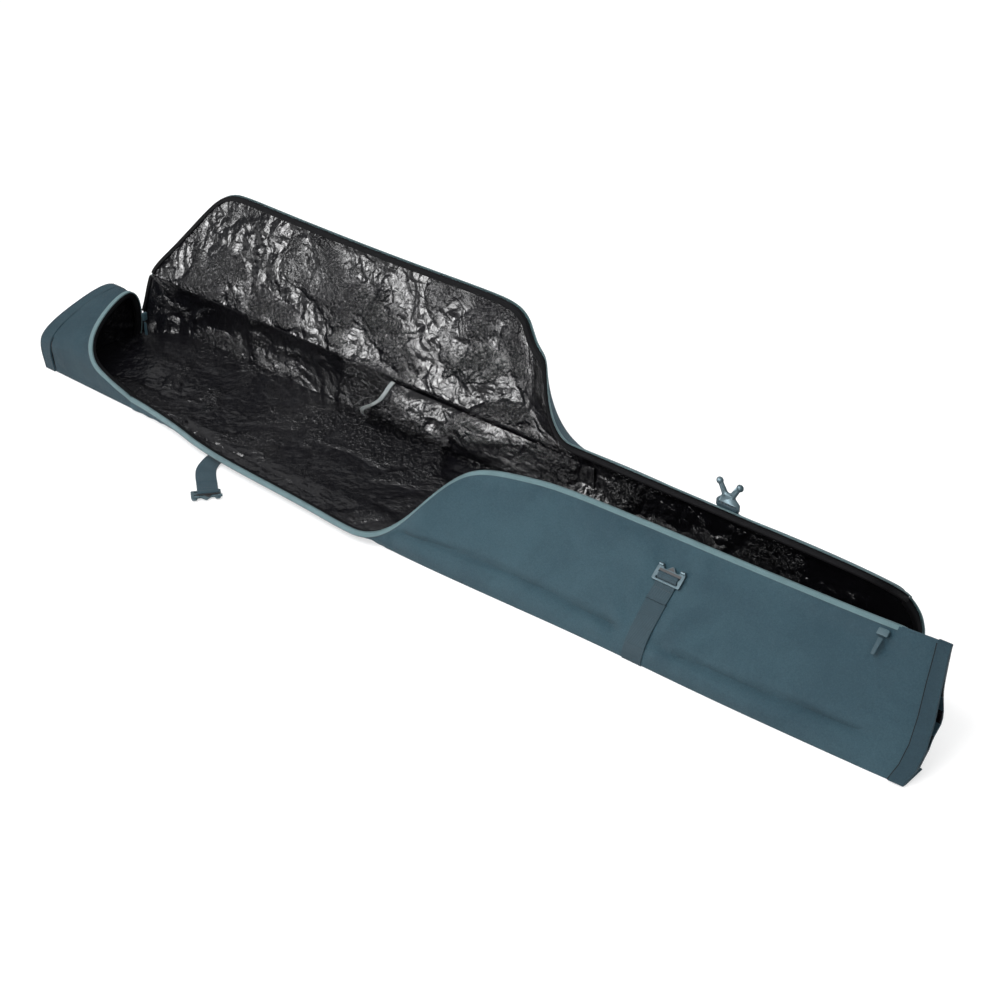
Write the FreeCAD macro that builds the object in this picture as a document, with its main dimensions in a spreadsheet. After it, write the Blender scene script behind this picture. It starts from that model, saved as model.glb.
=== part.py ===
import FreeCAD
import Part
import Sketcher
import math
import os
import re

# Ski bag, lying open. Millimetres. X runs along the bag, +Y to the back, +Z up.
# The origin is on the floor under the middle of the bag's bottom panel.
# The lid hinges along the top of the back wall. Its wide part stands open. Its narrow strip, joined
# to the wide part by a twisted panel, is open by a smaller angle. The front flap lies on the floor.
# Each flat panel is drawn in its own plane, as a board whose frame is turned about the X axis.

SIZES = {
    # whole bag
    "hem_width": 28,
    "tube_wall": 3,
    "half_length": 960,
    "half_depth": 135,
    # layers of a padded panel, from the outside inwards
    "shell_layer": 1.5,
    "foam_layer": 5,
    "liner_layer": 1.5,
    "half_panel": 4,
    # cross-section of the bag
    "hinge_back": 120,
    "hinge_up": 115,
    "shoulder_up": 45,
    "wall_lean": 97.43,
    "wall_height": 106,
    "bottom_gap": 1.2,
    "face_lean": 90,
    "face_height": 38,
    "slope_lean": 41.19,
    "slope_length": 156,
    "seam_radius": 4,
    # places along the bag
    "hood_low": -748,
    "hood_notch": -885,
    "left_start": -738,
    "notch_start": -925,
    "flap_end": -62,
    "face_start": -55,
    "strip_start": 222,
    "right_end": 858,
    "wall_end": 812,
    # lid
    "lid_open": 110,
    "strip_open": 41,
    "hinge_gap": 6,
    "lid_depth": 203,
    "strip_depth": 128,
    "band_width": 12,
    "tape_layer": 1,
    # front flap
    "flap_back": -90,
    "flap_up": 6,
    "flap_depth": 104,
    # straps and their hardware
    "strap_place": 490,
    "rear_place": 525,
    "half_webbing": 19,
    "webbing_layer": 1.7,
    "strap_lift": 0.3,
    "front_free": 76,
    "left_place": -442,
    "left_turn_place": -412,
    "left_turn": 52,
    "left_free": 48,
    "flap_reach": 23,
    "rear_free": 118,
    "floor_free": 233,
    "plate_layer": 3.2,
    "hook_reach": 129,
    "hook_lift": 5.3,
    "hook_curl": 50,
}

LAYERS = ("shell", "foam", "liner")

document = FreeCAD.newDocument("SkiBag")
sheet = document.addObject("Spreadsheet::Sheet", "Sizes")
for row, (alias, number) in enumerate(SIZES.items(), start=1):
    sheet.set(f"A{row}", alias)
    sheet.set(f"B{row}", str(number))
    sheet.setAlias(f"B{row}", alias)
document.recompute()

AXIS_X = FreeCAD.Vector(1, 0, 0)
NODES = []


def size(alias):
    """A driving dimension, read back from the sheet."""
    return float(sheet.get(alias))


def bound(text):
    """An expression in the sheet's aliases, with the sheet's name put before each of them."""
    return re.sub(r"[a-z_]{4,}", lambda word: "Sizes." + word.group(), str(text))


def origin_plane(body, role):
    """One of a body's own origin planes."""
    for feature in body.Origin.OriginFeatures:
        if feature.Role == role:
            return feature
    raise ValueError(role)


def keep(thing, label):
    """Label a finished sub-part, which names its file."""
    thing.Label = label
    NODES.append(thing)
    return thing


def outline(sketch, corners):
    """A closed polygon. Each corner is two expressions, its places along the sketch's axes."""
    first = sketch.GeometryCount
    count = len(corners)
    for index in range(count):
        here = 2 * math.pi * index / count
        after = 2 * math.pi * (index + 1) / count
        start = FreeCAD.Vector(100 * math.cos(here), 100 * math.sin(here), 0)
        end = FreeCAD.Vector(100 * math.cos(after), 100 * math.sin(after), 0)
        sketch.addGeometry(Part.LineSegment(start, end), False)
    for index in range(count):
        follow = first + (index + 1) % count
        sketch.addConstraint(Sketcher.Constraint("Coincident", first + index, 2, follow, 1))
    for index, corner in enumerate(corners):
        for kind, text in zip(("DistanceX", "DistanceY"), corner):
            constraint = Sketcher.Constraint(kind, -1, 1, first + index, 1, 10.0)
            number = sketch.addConstraint(constraint)
            sketch.setExpression(f"Constraints[{number}]", bound(text))


def drawn_body(name, plane, lift, length, loops):
    """A PartDesign body: one sketch of closed polygons on a plane lifted off the origin, padded."""
    body = document.addObject("PartDesign::Body", name)
    sketch = body.newObject("Sketcher::SketchObject", name + "_sketch")
    sketch.AttachmentSupport = [(origin_plane(body, plane), "")]
    sketch.MapMode = "FlatFace"
    sketch.setExpression(".AttachmentOffset.Base.z", bound(lift))
    for corners in loops:
        outline(sketch, corners)
    pad = body.newObject("PartDesign::Pad", name + "_pad")
    pad.Profile = sketch
    pad.setExpression("Length", bound(length))
    sketch.Visibility = False
    return body


def place(body, back, up, lean):
    """Move a board's frame to its place in the section and turn it about X."""
    body.Placement = FreeCAD.Placement(FreeCAD.Vector(), FreeCAD.Rotation(AXIS_X, 1))
    body.setExpression(".Placement.Base.y", bound(back))
    body.setExpression(".Placement.Base.z", bound(up))
    body.setExpression(".Placement.Rotation.Angle", bound(lean))


FRAMES = {
    "floor": ("0", "0", "0.0001"),
    "wall": ("half_depth", "0", "wall_lean"),
    "face": ("0 - half_depth", "0", "face_lean"),
    "slope": ("0 - half_depth", "shoulder_up", "slope_lean"),
    "lid": ("hinge_back", "hinge_up", "0 - lid_open"),
    "strip": ("hinge_back", "hinge_up", "0 - strip_open"),
    "flap": ("flap_back", "flap_up", "0.0001"),
    "curl": (
        "hinge_back - hook_reach * cos(strip_open) + hook_lift * sin(strip_open)",
        "hinge_up + hook_reach * sin(strip_open) + hook_lift * cos(strip_open)",
        "0 - strip_open - hook_curl",
    ),
}


def board(label, frame, lift, layer, *loops):
    """A flat piece of one thickness in one of the frames."""
    body = drawn_body(label, "XY_Plane", lift, layer, loops)
    place(body, *FRAMES[frame])
    return keep(body, label)


def panel(label, frame, outer, inward, corners):
    """Shell, foam and liner, face to face, from the outer face inwards."""
    depth = "0"
    for layer in LAYERS:
        thickness = f"{layer}_layer"
        if inward > 0:
            lift = f"{outer} + {depth}"
        else:
            lift = f"{outer} - ({depth}) - {thickness}"
        board(f"{label}_{layer}", frame, lift, thickness, corners)
        depth = f"{depth} + {thickness}"


def rectangle(left, right, low, high):
    return [(left, low), (right, low), (right, high), (left, high)]


def rod(label, radius, left, right, back, up):
    """A round piece that lies along X."""
    cylinder = document.addObject("Part::Cylinder", label)
    cylinder.setExpression("Radius", bound(radius))
    cylinder.setExpression("Height", bound(f"({right}) - ({left})"))
    turn = FreeCAD.Rotation(FreeCAD.Vector(0, 1, 0), 90)
    cylinder.Placement = FreeCAD.Placement(FreeCAD.Vector(), turn)
    cylinder.setExpression(".Placement.Base.x", bound(left))
    cylinder.setExpression(".Placement.Base.y", bound(back))
    cylinder.setExpression(".Placement.Base.z", bound(up))
    return keep(cylinder, label)


def in_frame(frame, across, lift):
    """Expressions for the place of a point of a frame, given its local y and z."""
    back, up, lean = FRAMES[frame]
    there = f"({back}) + ({across}) * cos({lean}) - ({lift}) * sin({lean})"
    above = f"({up}) + ({across}) * sin({lean}) + ({lift}) * cos({lean})"
    return there, above


def coil(label, frame, left, right, across, lift):
    """A zipper coil, a thin round run along X beside the edge of a board."""
    back, up = in_frame(frame, across, lift)
    return rod(label, "half_panel / 2", left, right, back, up)


# Bottom panel and back wall

BOTTOM = [
    ("left_start", "flap_back + 5"),
    ("flap_end", "flap_back + 5"),
    ("flap_end", "0 - half_depth"),
    ("right_end", "0 - half_depth"),
    ("right_end", "72"),
    ("wall_end", "half_depth - bottom_gap"),
    ("notch_start", "half_depth - bottom_gap"),
    ("notch_start", "72"),
    ("left_start", "72"),
]
panel("bottom", "floor", "0", 1, BOTTOM)
panel("back_wall", "wall", "0", 1, rectangle("notch_start", "wall_end", "10", "wall_height"))

# Right front panel: a low upright strip and a slope up to the rim. Both start in an S-shaped edge.

FRONT_LOW = [
    ("face_start", "8.6"),
    ("right_end", "8.6"),
    ("right_end", "face_height"),
    ("face_start + 45", "face_height"),
    ("face_start + 30", "25"),
]
FRONT_HIGH = [
    ("0", "6"),
    ("right_end", "6"),
    ("right_end", "slope_length"),
    ("250", "slope_length"),
    ("190", "slope_length - 4"),
    ("135", "slope_length - 18"),
    ("90", "slope_length - 40"),
    ("58", "slope_length - 70"),
    ("32", "slope_length - 105"),
]
panel("front_low", "face", "0", -1, FRONT_LOW)
panel("front_high", "slope", "0", -1, FRONT_HIGH)

# Lid: the wide part, the narrow strip and the twisted panel between them

LID = [
    ("flap_end", "0 - hinge_gap"),
    ("notch_start + 6", "0 - hinge_gap"),
    ("notch_start + 20", "0 - 40"),
    ("hood_low - 125", "0 - 76"),
    ("hood_low - 92", "0 - 112"),
    ("hood_low - 64", "0 - lid_depth + 44"),
    ("hood_low - 50", "0 - lid_depth + 16"),
    ("hood_low - 22", "0 - lid_depth"),
    ("flap_end", "0 - lid_depth"),
]
STRIP = [
    ("strip_start", "0 - hinge_gap"),
    ("strip_start", "0 - strip_depth"),
    ("right_end - 18", "0 - strip_depth"),
    ("right_end - 10", "0 - strip_depth + 8"),
    ("wall_end", "0 - hinge_gap"),
]
panel("lid", "lid", "half_panel", -1, LID)
panel("strip", "strip", "half_panel", -1, STRIP)


def solid_loft(wires):
    """A ruled solid through the wires, turned the right way out."""
    loft = Part.makeLoft(wires, True, True)
    if loft.Volume < 0:
        loft.reverse()
    return loft


def cut_end(frame_lean, depth, place_x):
    """The end face of a lid board, a thin rectangle in a plane across X."""
    turn = FreeCAD.Rotation(AXIS_X, -size(frame_lean))
    half = size("half_panel")
    corners = []
    for across, lift in ((-size("hinge_gap"), -half), (-size(depth), -half),
                         (-size(depth), half), (-size("hinge_gap"), half)):
        point = turn.multVec(FreeCAD.Vector(0, across, lift))
        corners.append(point + FreeCAD.Vector(place_x, size("hinge_back"), size("hinge_up")))
    return Part.makePolygon(corners + corners[:1])


def twisted_panel():
    """The soft stretch of the lid, ruled between the ends of its two boards."""
    gap = 2
    ends = [
        cut_end("lid_open", "lid_depth", size("flap_end") + gap),
        cut_end("strip_open", "strip_depth", size("strip_start") - gap),
    ]
    thing = document.addObject("Part::Feature", "lid_twist")
    thing.Shape = solid_loft(ends)
    return keep(thing, "lid_twist")


twisted_panel()

# Hinge seams

rod("hinge_seam", "seam_radius", "notch_start + 8", "wall_end", "hinge_back", "hinge_up")
rod("flap_seam", "seam_radius - 0.5", "left_start", "flap_end", "flap_back", "flap_up")

# Front flap, lying on the floor in front of the wide part

FLAP = rectangle("left_start", "flap_end", "0 - flap_depth", "0 - hinge_gap + 1")
panel("flap", "flap", "0 - half_panel", 1, FLAP)

board("flap_gussets", "floor", "2", "2", [
    ("left_start - 4", "0 - half_depth - 6"),
    ("hood_low - 52", "0 - half_depth - 12"),
    ("left_start - 4", "flap_back - flap_depth + 4"),
], [
    ("flap_end + 4", "0 - half_depth - 2"),
    ("flap_end + 4", "flap_back - flap_depth + 4"),
    ("face_start + 45", "0 - half_depth - 2"),
])

# Zipper: tapes on the outer faces, coils beside the edges, and bindings on the inner faces

EDGE = "half_panel / 2 + 0.5"
board("rim_tape", "slope", "0", "tape_layer",
      rectangle("250", "right_end", "slope_length - band_width", "slope_length"))
coil("rim_coil", "slope", "250", "right_end", f"slope_length + {EDGE}", "0 - half_panel / 2")
board("rim_binding", "slope", "0 - 2 * half_panel - tape_layer", "tape_layer",
      rectangle("250", "right_end", "slope_length - band_width", "slope_length"))

board("lid_tape", "lid", "half_panel", "tape_layer",
      rectangle("hood_low", "flap_end", "0 - lid_depth", "0 - lid_depth + band_width"))
coil("lid_coil", "lid", "hood_low", "flap_end", f"0 - lid_depth - ({EDGE})", "0")
board("lid_binding", "lid", "0 - half_panel - tape_layer", "tape_layer",
      rectangle("hood_low", "flap_end", "0 - lid_depth", "0 - lid_depth + band_width"))

board("strip_tape", "strip", "half_panel", "tape_layer",
      rectangle("strip_start", "right_end - 18", "0 - strip_depth", "0 - strip_depth + band_width"))
coil("strip_coil", "strip", "strip_start", "right_end - 18", f"0 - strip_depth - ({EDGE})", "0")
board("strip_binding", "strip", "0 - half_panel - tape_layer", "tape_layer",
      rectangle("strip_start", "right_end - 18", "0 - strip_depth", "0 - strip_depth + band_width"))

board("flap_tape", "flap", "half_panel", "tape_layer",
      rectangle("left_start", "flap_end", "0 - flap_depth", "0 - flap_depth + band_width"))
coil("flap_coil", "flap", "left_start", "flap_end", f"0 - flap_depth - ({EDGE})", "0 - 1")

# Closed ends: tubes of fabric that taper to a flat seam, each with a hem band beyond its stitching.
# A section is a list of (y, z) corners in millimetres, counted round from the low front corner.

HOOD_HEM = ((-135, 0.0), (-143, 50), (-135, 75), (-85, 98), (15, 122), (55, 110), (68, 60), (65, 0.0))
HOOD_RIM = ((-135, 0.0), (-135, 50), (-115, 85), (-65, 120), (5, 137), (40, 110), (55, 50), (65, 0.0))
TAIL_RIM = ((-135, 0.0), (-135, 45), (-15, 150), (38, 112), (70, 0.0))
TAIL_HEM = ((-135, 0.0), (-100, 44), (-4, 158), (8, 150), (-112, 0.0))


def section(corners, place_x, inset):
    """A closed wire across X, drawn in by the inset."""
    points = [FreeCAD.Vector(place_x, back, up) for back, up in corners]
    wire = Part.makePolygon(points + points[:1])
    if inset:
        inner = Part.Face(wire).makeOffset2D(-inset, 2)
        wire = inner.OuterWire
    return wire


def tube(open_section, closed_section, open_x, closed_x):
    """A ruled tube of fabric, open at one section and closed by a floor at the other."""
    wall = size("tube_wall")
    floor = 2 * wall
    share = 1 - floor / abs(closed_x - open_x)
    last = []
    for (back, up), (back_end, up_end) in zip(open_section, closed_section):
        last.append((back + (back_end - back) * share, up + (up_end - up) * share))
    last_x = open_x + (closed_x - open_x) * share
    outer = solid_loft([section(open_section, open_x, 0), section(closed_section, closed_x, 0)])
    hollow = solid_loft([section(open_section, open_x, wall), section(last, last_x, wall)])
    return outer.cut(hollow)


def ends():
    """Both tube ends and both hem bands."""
    hem = size("hem_width")
    tip = size("half_length")
    past = 20
    hood_reach = size("hood_low")
    hood = tube(HOOD_RIM, HOOD_HEM, hood_reach, -tip + hem)
    high = 170
    rise = 0.765
    keep_side = Part.makePolygon([
        FreeCAD.Vector(-tip - past, -300, -1),
        FreeCAD.Vector(hood_reach, -300, -1),
        FreeCAD.Vector(hood_reach - rise * high, -300, high),
        FreeCAD.Vector(-tip - past, -300, high),
        FreeCAD.Vector(-tip - past, -300, -1),
    ])
    wedge = Part.Face(keep_side).extrude(FreeCAD.Vector(0, 600, 0))
    notch = Part.makeBox(400, 400, 400, FreeCAD.Vector(size("hood_notch"), 8, -10))
    hood = hood.common(wedge).cut(notch)
    tail = tube(TAIL_RIM, TAIL_HEM, size("right_end") + 2, tip - hem)
    lengthwise = FreeCAD.Vector(hem, 0, 0)
    hood_hem = Part.Face(section(HOOD_HEM, -tip, 0)).extrude(lengthwise)
    tail_hem = Part.Face(section(TAIL_HEM, tip - hem, 0)).extrude(lengthwise)
    hood_gap = Part.Face(section(HOOD_HEM, -tip - 1, 2 * size("tube_wall"))).extrude(lengthwise * 0.6)
    tail_gap = Part.Face(section(TAIL_HEM, tip - hem * 0.6 + 1, 2 * size("tube_wall")))
    tail_gap = tail_gap.extrude(lengthwise * 0.6)
    shapes = {
        "left_hood": hood,
        "right_tail": tail,
        "left_hem": hood_hem.cut(hood_gap),
        "right_hem": tail_hem.cut(tail_gap),
    }
    for label, shape in shapes.items():
        thing = document.addObject("Part::Feature", label)
        thing.Shape = shape
        keep(thing, label)


ends()

# Pole sleeve on the inner face of the back wall: a channel, with an elastic at its mouth

SLEEVE_LEFT = "0 - 290"
SLEEVE_RIGHT = "200"


def channel(label, left, right, reach, thick):
    """A thin C-section along X, open towards the back wall, its outside reach off the wall."""
    wall = "2 * half_panel + 0.2"
    corners = [
        ("12", wall), ("102", wall), ("102", reach), ("12", reach),
    ]
    inner = [
        (f"12 + {thick}", wall), (f"12 + {thick}", f"{reach} - {thick}"),
        (f"102 - {thick}", f"{reach} - {thick}"), (f"102 - {thick}", wall),
    ]
    loop = [corners[0], corners[3], corners[2], corners[1], inner[3], inner[2], inner[1], inner[0]]
    body = drawn_body(label, "YZ_Plane", left, f"({right}) - ({left})", [loop])
    place(body, *FRAMES["wall"])
    return keep(body, label)


channel("pole_sleeve", SLEEVE_LEFT, SLEEVE_RIGHT, "24", "1.6")
channel("sleeve_elastic", f"{SLEEVE_LEFT} - 10", SLEEVE_LEFT, "24.6", "2.2")


# Straps

def webbing(label, frame, centre, lift, low, high):
    """A flat length of webbing in a frame."""
    sides = rectangle(f"{centre} - half_webbing", f"{centre} + half_webbing", low, high)
    return board(label, frame, lift, "webbing_layer", sides)


RIGHT = "strap_place"
REAR_RIGHT = "rear_place"
LEFT = "0 - strap_place"
OUTSIDE = "0 - webbing_layer - strap_lift"
webbing("front_base_right", "face", RIGHT, "strap_lift", "2", "face_height")
webbing("front_strap_right", "slope", RIGHT, "strap_lift", "5", "5 + front_free")


def turned(across, distance):
    """A place on the front left strap, which lies turned towards the tail."""
    there = f"left_turn_place + ({across}) * cos(left_turn) + ({distance}) * sin(left_turn)"
    above = f"0 - flap_depth - flap_reach + ({across}) * sin(left_turn) - ({distance}) * cos(left_turn)"
    return there, above


board("front_base_left", "flap", "0 - half_panel - webbing_layer", "webbing_layer", [
    ("left_place - half_webbing", "0 - hinge_gap"),
    ("left_place - half_webbing", "0 - flap_depth"),
    turned("0 - half_webbing", "0"),
    turned("half_webbing", "0"),
    ("left_place + half_webbing", "0 - flap_depth + 20"),
    ("left_place + half_webbing", "0 - hinge_gap"),
])
board("front_strap_left", "flap", "0 - half_panel - webbing_layer", "webbing_layer", [
    turned("0 - half_webbing", "2"),
    turned("0 - half_webbing", "2 + left_free"),
    turned("half_webbing", "2 + left_free"),
    turned("half_webbing", "2"),
])
board("rear_strap_bases", "wall", OUTSIDE, "webbing_layer",
      rectangle(f"{REAR_RIGHT} - half_webbing", f"{REAR_RIGHT} + half_webbing", "2", "100"),
      rectangle(f"{LEFT} - half_webbing", f"{LEFT} + half_webbing", "4", "34"))
webbing("rear_strap_right", "strip", REAR_RIGHT, "half_panel + tape_layer + strap_lift",
        "0 - 10 - rear_free", "0 - 10")
webbing("rear_strap_left", "floor", LEFT, "strap_lift",
        "half_depth + 6", "half_depth + 6 + floor_free")


def away(start, direction, distance):
    """A place along a strap, counted from the end of its webbing."""
    return f"({start}) + {direction} * ({distance})"


def buckle(label, frame, lift, corner):
    """Frame buckle: a bar between two slots, then a pointed tongue between two catches."""
    rim = [
        corner(-26, 0), corner(26, 0), corner(26, 20), corner(24, 28), corner(16, 28),
        corner(15, 22), corner(9, 21), corner(0, 30), corner(-9, 21), corner(-15, 22),
        corner(-16, 28), corner(-24, 28), corner(-26, 20),
    ]
    near = [corner(-20.5, 3), corner(-20.5, 8), corner(20.5, 8), corner(20.5, 3)]
    far = [corner(-20.5, 13), corner(-20.5, 18), corner(20.5, 18), corner(20.5, 13)]
    return board(label, frame, lift, "plate_layer", rim, near, far)


def hook(label, frame, centre, lift, start, direction):
    """Hook plate: a slot for the webbing and two spread horns that end in round knobs."""
    def corner(across, distance):
        return f"({centre}) + {across}", away(start, direction, distance)
    rim = [
        corner(-21, 0), corner(21, 0), corner(21, 12), corner(12, 20), corner(11, 26),
        corner(20, 38), corner(22, 44), corner(14, 44), corner(3, 27), corner(-3, 27),
        corner(-14, 44), corner(-22, 44), corner(-20, 38), corner(-11, 26), corner(-12, 20),
        corner(-21, 12),
    ]
    window = [corner(-17, 4), corner(-17, 9), corner(17, 9), corner(17, 4)]
    return board(label, frame, lift, "plate_layer", rim, window)


buckle("front_buckle_right", "slope", "2 * strap_lift",
       lambda across, distance: (f"{RIGHT} + {across}", away("5 + front_free + 2", 1, distance)))
buckle("front_buckle_left", "flap", "0 - half_panel - webbing_layer",
       lambda across, distance: turned(str(across), f"4 + left_free + {distance}"))
hook("rear_hook_right", "curl", REAR_RIGHT, "0", "0 - 1", -1)
hook("rear_hook_left", "floor", LEFT, "strap_lift", "half_depth + 6 + floor_free + 2", 1)

# Zipper sliders and their pull tabs. The right one is parked at the end of the rim, the left one
# on the upright back edge of the hood.

board("slider_right", "slope", "tape_layer + strap_lift", "6", [
    ("right_end - 28", "slope_length - 10"), ("right_end - 10", "slope_length - 10"),
    ("right_end - 10", "slope_length"), ("right_end - 14", "slope_length + 1"),
    ("right_end - 24", "slope_length + 1"), ("right_end - 28", "slope_length"),
])
board("pull_right", "slope", "tape_layer + 2", "2", [
    ("right_end - 22", "slope_length - 40"), ("right_end - 16", "slope_length - 40"),
    ("right_end - 15", "slope_length - 13"), ("right_end - 23", "slope_length - 13"),
])


def hood_piece(label, low, high, near, far, start, length):
    """A small block on the hood's back edge, drawn across X and padded along it."""
    sides = rectangle(near, far, low, high)
    body = drawn_body(label, "YZ_Plane", start, length, [sides])
    return keep(body, label)


hood_piece("slider_left", "58", "74", "46", "56", "hood_notch + 1", "5")
hood_piece("pull_left", "26", "53", "50", "52", "hood_notch + 0.5", "6")

# Carry handle on the outside of the back wall

board("handle_anchors", "wall", "0 - 1 - strap_lift", "1",
      rectangle("0 - 129", "0 - 91", "62", "96"), rectangle("91", "129", "62", "96"))
board("carry_handle", "wall", "0 - 6", "4", [
    ("0 - 129", "59"), ("0 - 129", "22"), ("129", "22"), ("129", "59"),
    ("91", "59"), ("91", "40"), ("0 - 91", "40"), ("0 - 91", "59"),
])


def check_and_write():
    """Stop on any failed object, then write one file for each sub-part."""
    document.recompute()
    for thing in document.Objects:
        for state in thing.State:
            if state in ("Invalid", "Error"):
                raise RuntimeError(f"{thing.Label} is {state}")
    for node in NODES:
        if node.Shape.isNull() or not node.Shape.isValid() or not node.Shape.Solids:
            raise RuntimeError(f"{node.Label} has no valid solid")
    os.makedirs("parts", exist_ok=True)
    for node in NODES:
        node.Shape.exportStep(f"parts/{node.Label}.step")
        box = node.Shape.BoundBox
        print(f"{node.Label:20s} {len(node.Shape.Solids)} solids {node.Shape.Volume / 1000:9.2f} cm3 "
              f"x {box.XMin:7.1f} {box.XMax:7.1f} y {box.YMin:7.1f} {box.YMax:7.1f} "
              f"z {box.ZMin:6.1f} {box.ZMax:6.1f}")


check_and_write()
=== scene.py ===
"""Ski bag, lying open: looks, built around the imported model.

Metres, in the model's own frame. X runs along the bag from the hood to the tail, +Y is the back,
+Z is up, and the origin is on the floor under the middle of the bottom panel.
Fabric is made from grids of points: one direction runs along the bag, the other runs round it.
"""
import math

import bmesh
import bpy
import numpy as np
from mathutils import Matrix, Vector


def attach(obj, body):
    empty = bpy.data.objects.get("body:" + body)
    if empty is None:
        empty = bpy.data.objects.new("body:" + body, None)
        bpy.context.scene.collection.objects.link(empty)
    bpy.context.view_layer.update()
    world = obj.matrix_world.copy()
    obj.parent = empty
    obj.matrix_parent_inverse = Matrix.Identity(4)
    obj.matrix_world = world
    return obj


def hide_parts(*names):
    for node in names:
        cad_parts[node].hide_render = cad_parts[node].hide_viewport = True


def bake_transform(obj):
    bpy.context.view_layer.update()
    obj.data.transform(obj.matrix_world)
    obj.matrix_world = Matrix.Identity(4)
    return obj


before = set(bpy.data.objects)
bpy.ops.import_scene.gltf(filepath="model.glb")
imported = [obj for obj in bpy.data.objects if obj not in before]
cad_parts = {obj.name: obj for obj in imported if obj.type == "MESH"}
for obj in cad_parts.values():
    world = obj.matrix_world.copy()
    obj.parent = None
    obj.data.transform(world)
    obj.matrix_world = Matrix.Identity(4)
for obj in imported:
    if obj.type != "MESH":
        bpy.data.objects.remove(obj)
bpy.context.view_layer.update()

# Places along the bag
HOOD_TIP, HOOD_HEM_END = -0.96, -0.932
TAIL_HEM_START, TAIL_TIP = 0.932, 0.96
FLAP_LEFT, FLAP_SPLIT = -0.7, -0.36
WALL_LEFT, WALL_RIGHT = -0.94, 0.815
PANEL_RIGHT = 0.862
TWIST_START, TWIST_END = 0.0, 0.23
LINING_END = 0.925
STRAP_AT, REAR_AT, HANDLE_AT = 0.49, 0.525, 0.11
# Places across the bag, and how far the lid's two parts stand open, in degrees
FOLD_BACK, FOLD_UP = -0.09, 0.004
HINGE_BACK, HINGE_UP = 0.12, 0.115
LID_OPEN, STRIP_OPEN = 110.0, 41.0
# Turns of the front left strap on the floor and of the rear right hook, in degrees
LEFT_TURN, CURL = 52.0, 50.0
# How far the lid's right end slants, and how far its strip is arched
LID_RIGHT_SHEAR = 0.28
STRIP_ARCH = 0.003
# Thicknesses and widths
FABRIC, LINING, PADDING, RIM_PADDING = 0.0016, 0.001, 0.0075, 0.0035
# A hem band, and how far it and the sewn webbing lie off the fabric
HEM_LAYER, HEM_LIFT = 0.0035, 0.0022
TAPE_WIDTH, BINDING_WIDTH = 0.008, 0.0055
# The lid's and the wall ends' tape reaches past their edges by this
LID_REACH = 0.0052
WEB_WIDTH, WEB_LAYER = 0.0366, 0.0014
# Heights: the front's sheet and the lowest fabric off the floor, and where the hood's zipper starts
FLOOR_GAP, LOWEST, HOOD_ZIP_UP = 0.0012, 0.0008, 0.0253

# The zipper's line along the front, from the hood to the tail: (x, y, z)
ZIP_FRONT = (
    (-0.7, -0.138, 0.0255), (-0.67, -0.139, 0.024), (-0.64, -0.14, 0.022), (-0.56, -0.149, 0.02),
    (-0.49, -0.164, 0.02), (-0.4, -0.174, 0.02), (-0.21, -0.18, 0.02), (-0.1, -0.188, 0.02),
    (-0.055, -0.187, 0.02), (-0.025, -0.177, 0.028), (0.0, -0.165, 0.045), (0.02, -0.149, 0.065),
    (0.038, -0.129, 0.09), (0.052, -0.108, 0.11), (0.066, -0.086, 0.126), (0.084, -0.067, 0.138),
    (0.112, -0.052, 0.145), (0.16, -0.038, 0.148), (0.235, -0.021, 0.15), (0.4, -0.014, 0.15),
    (0.6, -0.011, 0.151), (0.8, -0.008, 0.154), (0.88, -0.006, 0.157), (0.932, -0.004, 0.158),
    (0.96, -0.003, 0.158),
)
# Where the front leaves the floor: (x, y)
FRONT_FOOT = (
    (-0.74, -0.136), (-0.6, -0.134), (-0.45, -0.142), (-0.25, -0.148), (-0.1, -0.158), (-0.04, -0.168),
    (0.06, -0.168), (0.2, -0.162), (0.4, -0.152), (0.62, -0.15), (0.8, -0.143), (0.9, -0.138),
    (0.96, -0.135),
)
# Outlines across the bag, from the front foot over the top to the back foot: (y, z)
HOOD_HEM = (
    (-0.135, 0.001), (-0.143, 0.05), (-0.135, 0.075), (-0.085, 0.098), (0.015, 0.122), (0.055, 0.11),
    (0.068, 0.06), (0.065, 0.001),
)
HOOD_RIM = (
    (-0.136, 0.001), (-0.139, 0.04), (-0.125, 0.08), (-0.065, 0.118), (0.01, 0.139), (0.045, 0.112),
    (0.058, 0.055), (0.066, 0.001),
)
TAIL_OPEN_BACK = ((0.02, 0.132), (0.05, 0.07), (0.07, 0.001))
TAIL_SHUT_BACK = ((-0.013, 0.146), (-0.064, 0.08), (-0.13, 0.001))
# How far the tail's end reaches past its straight cut, by height: (z, x)
TAIL_CUT = ((0.0, -0.002), (0.02, 0.006), (0.045, 0.007), (0.075, 0.001), (0.11, -0.01), (0.16, -0.024))
# How far the hood's rim reaches, by share of the way round its outline: (share, x)
HOOD_REACH = (
    (0.0, -0.69), (0.09, -0.69), (0.135, -0.698), (0.18, -0.756), (0.225, -0.798), (0.27, -0.814),
    (0.36, -0.842), (0.45, -0.864), (0.54, -0.886), (0.63, -0.898), (0.8, -0.908), (1.0, -0.926),
)
# The lid's depth from its hinge to its edge: (x, depth)
LID_DEPTH = (
    (-0.928, 0.0), (-0.925, 0.014), (-0.909, 0.038), (-0.882, 0.07), (-0.85, 0.112), (-0.815, 0.158),
    (-0.79, 0.186), (-0.765, 0.201), (-0.735, 0.207), (-0.6, 0.205), (-0.3, 0.204), (-0.09, 0.205),
    (-0.04, 0.2), (-0.015, 0.186), (0.0, 0.166), (0.015, 0.15), (0.04, 0.141), (0.1, 0.138), (0.3, 0.136),
    (0.6, 0.134), (0.665, 0.133), (0.705, 0.129), (0.737, 0.118), (0.763, 0.1), (0.781, 0.074),
    (0.791, 0.04), (0.795, 0.0),
)
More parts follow.
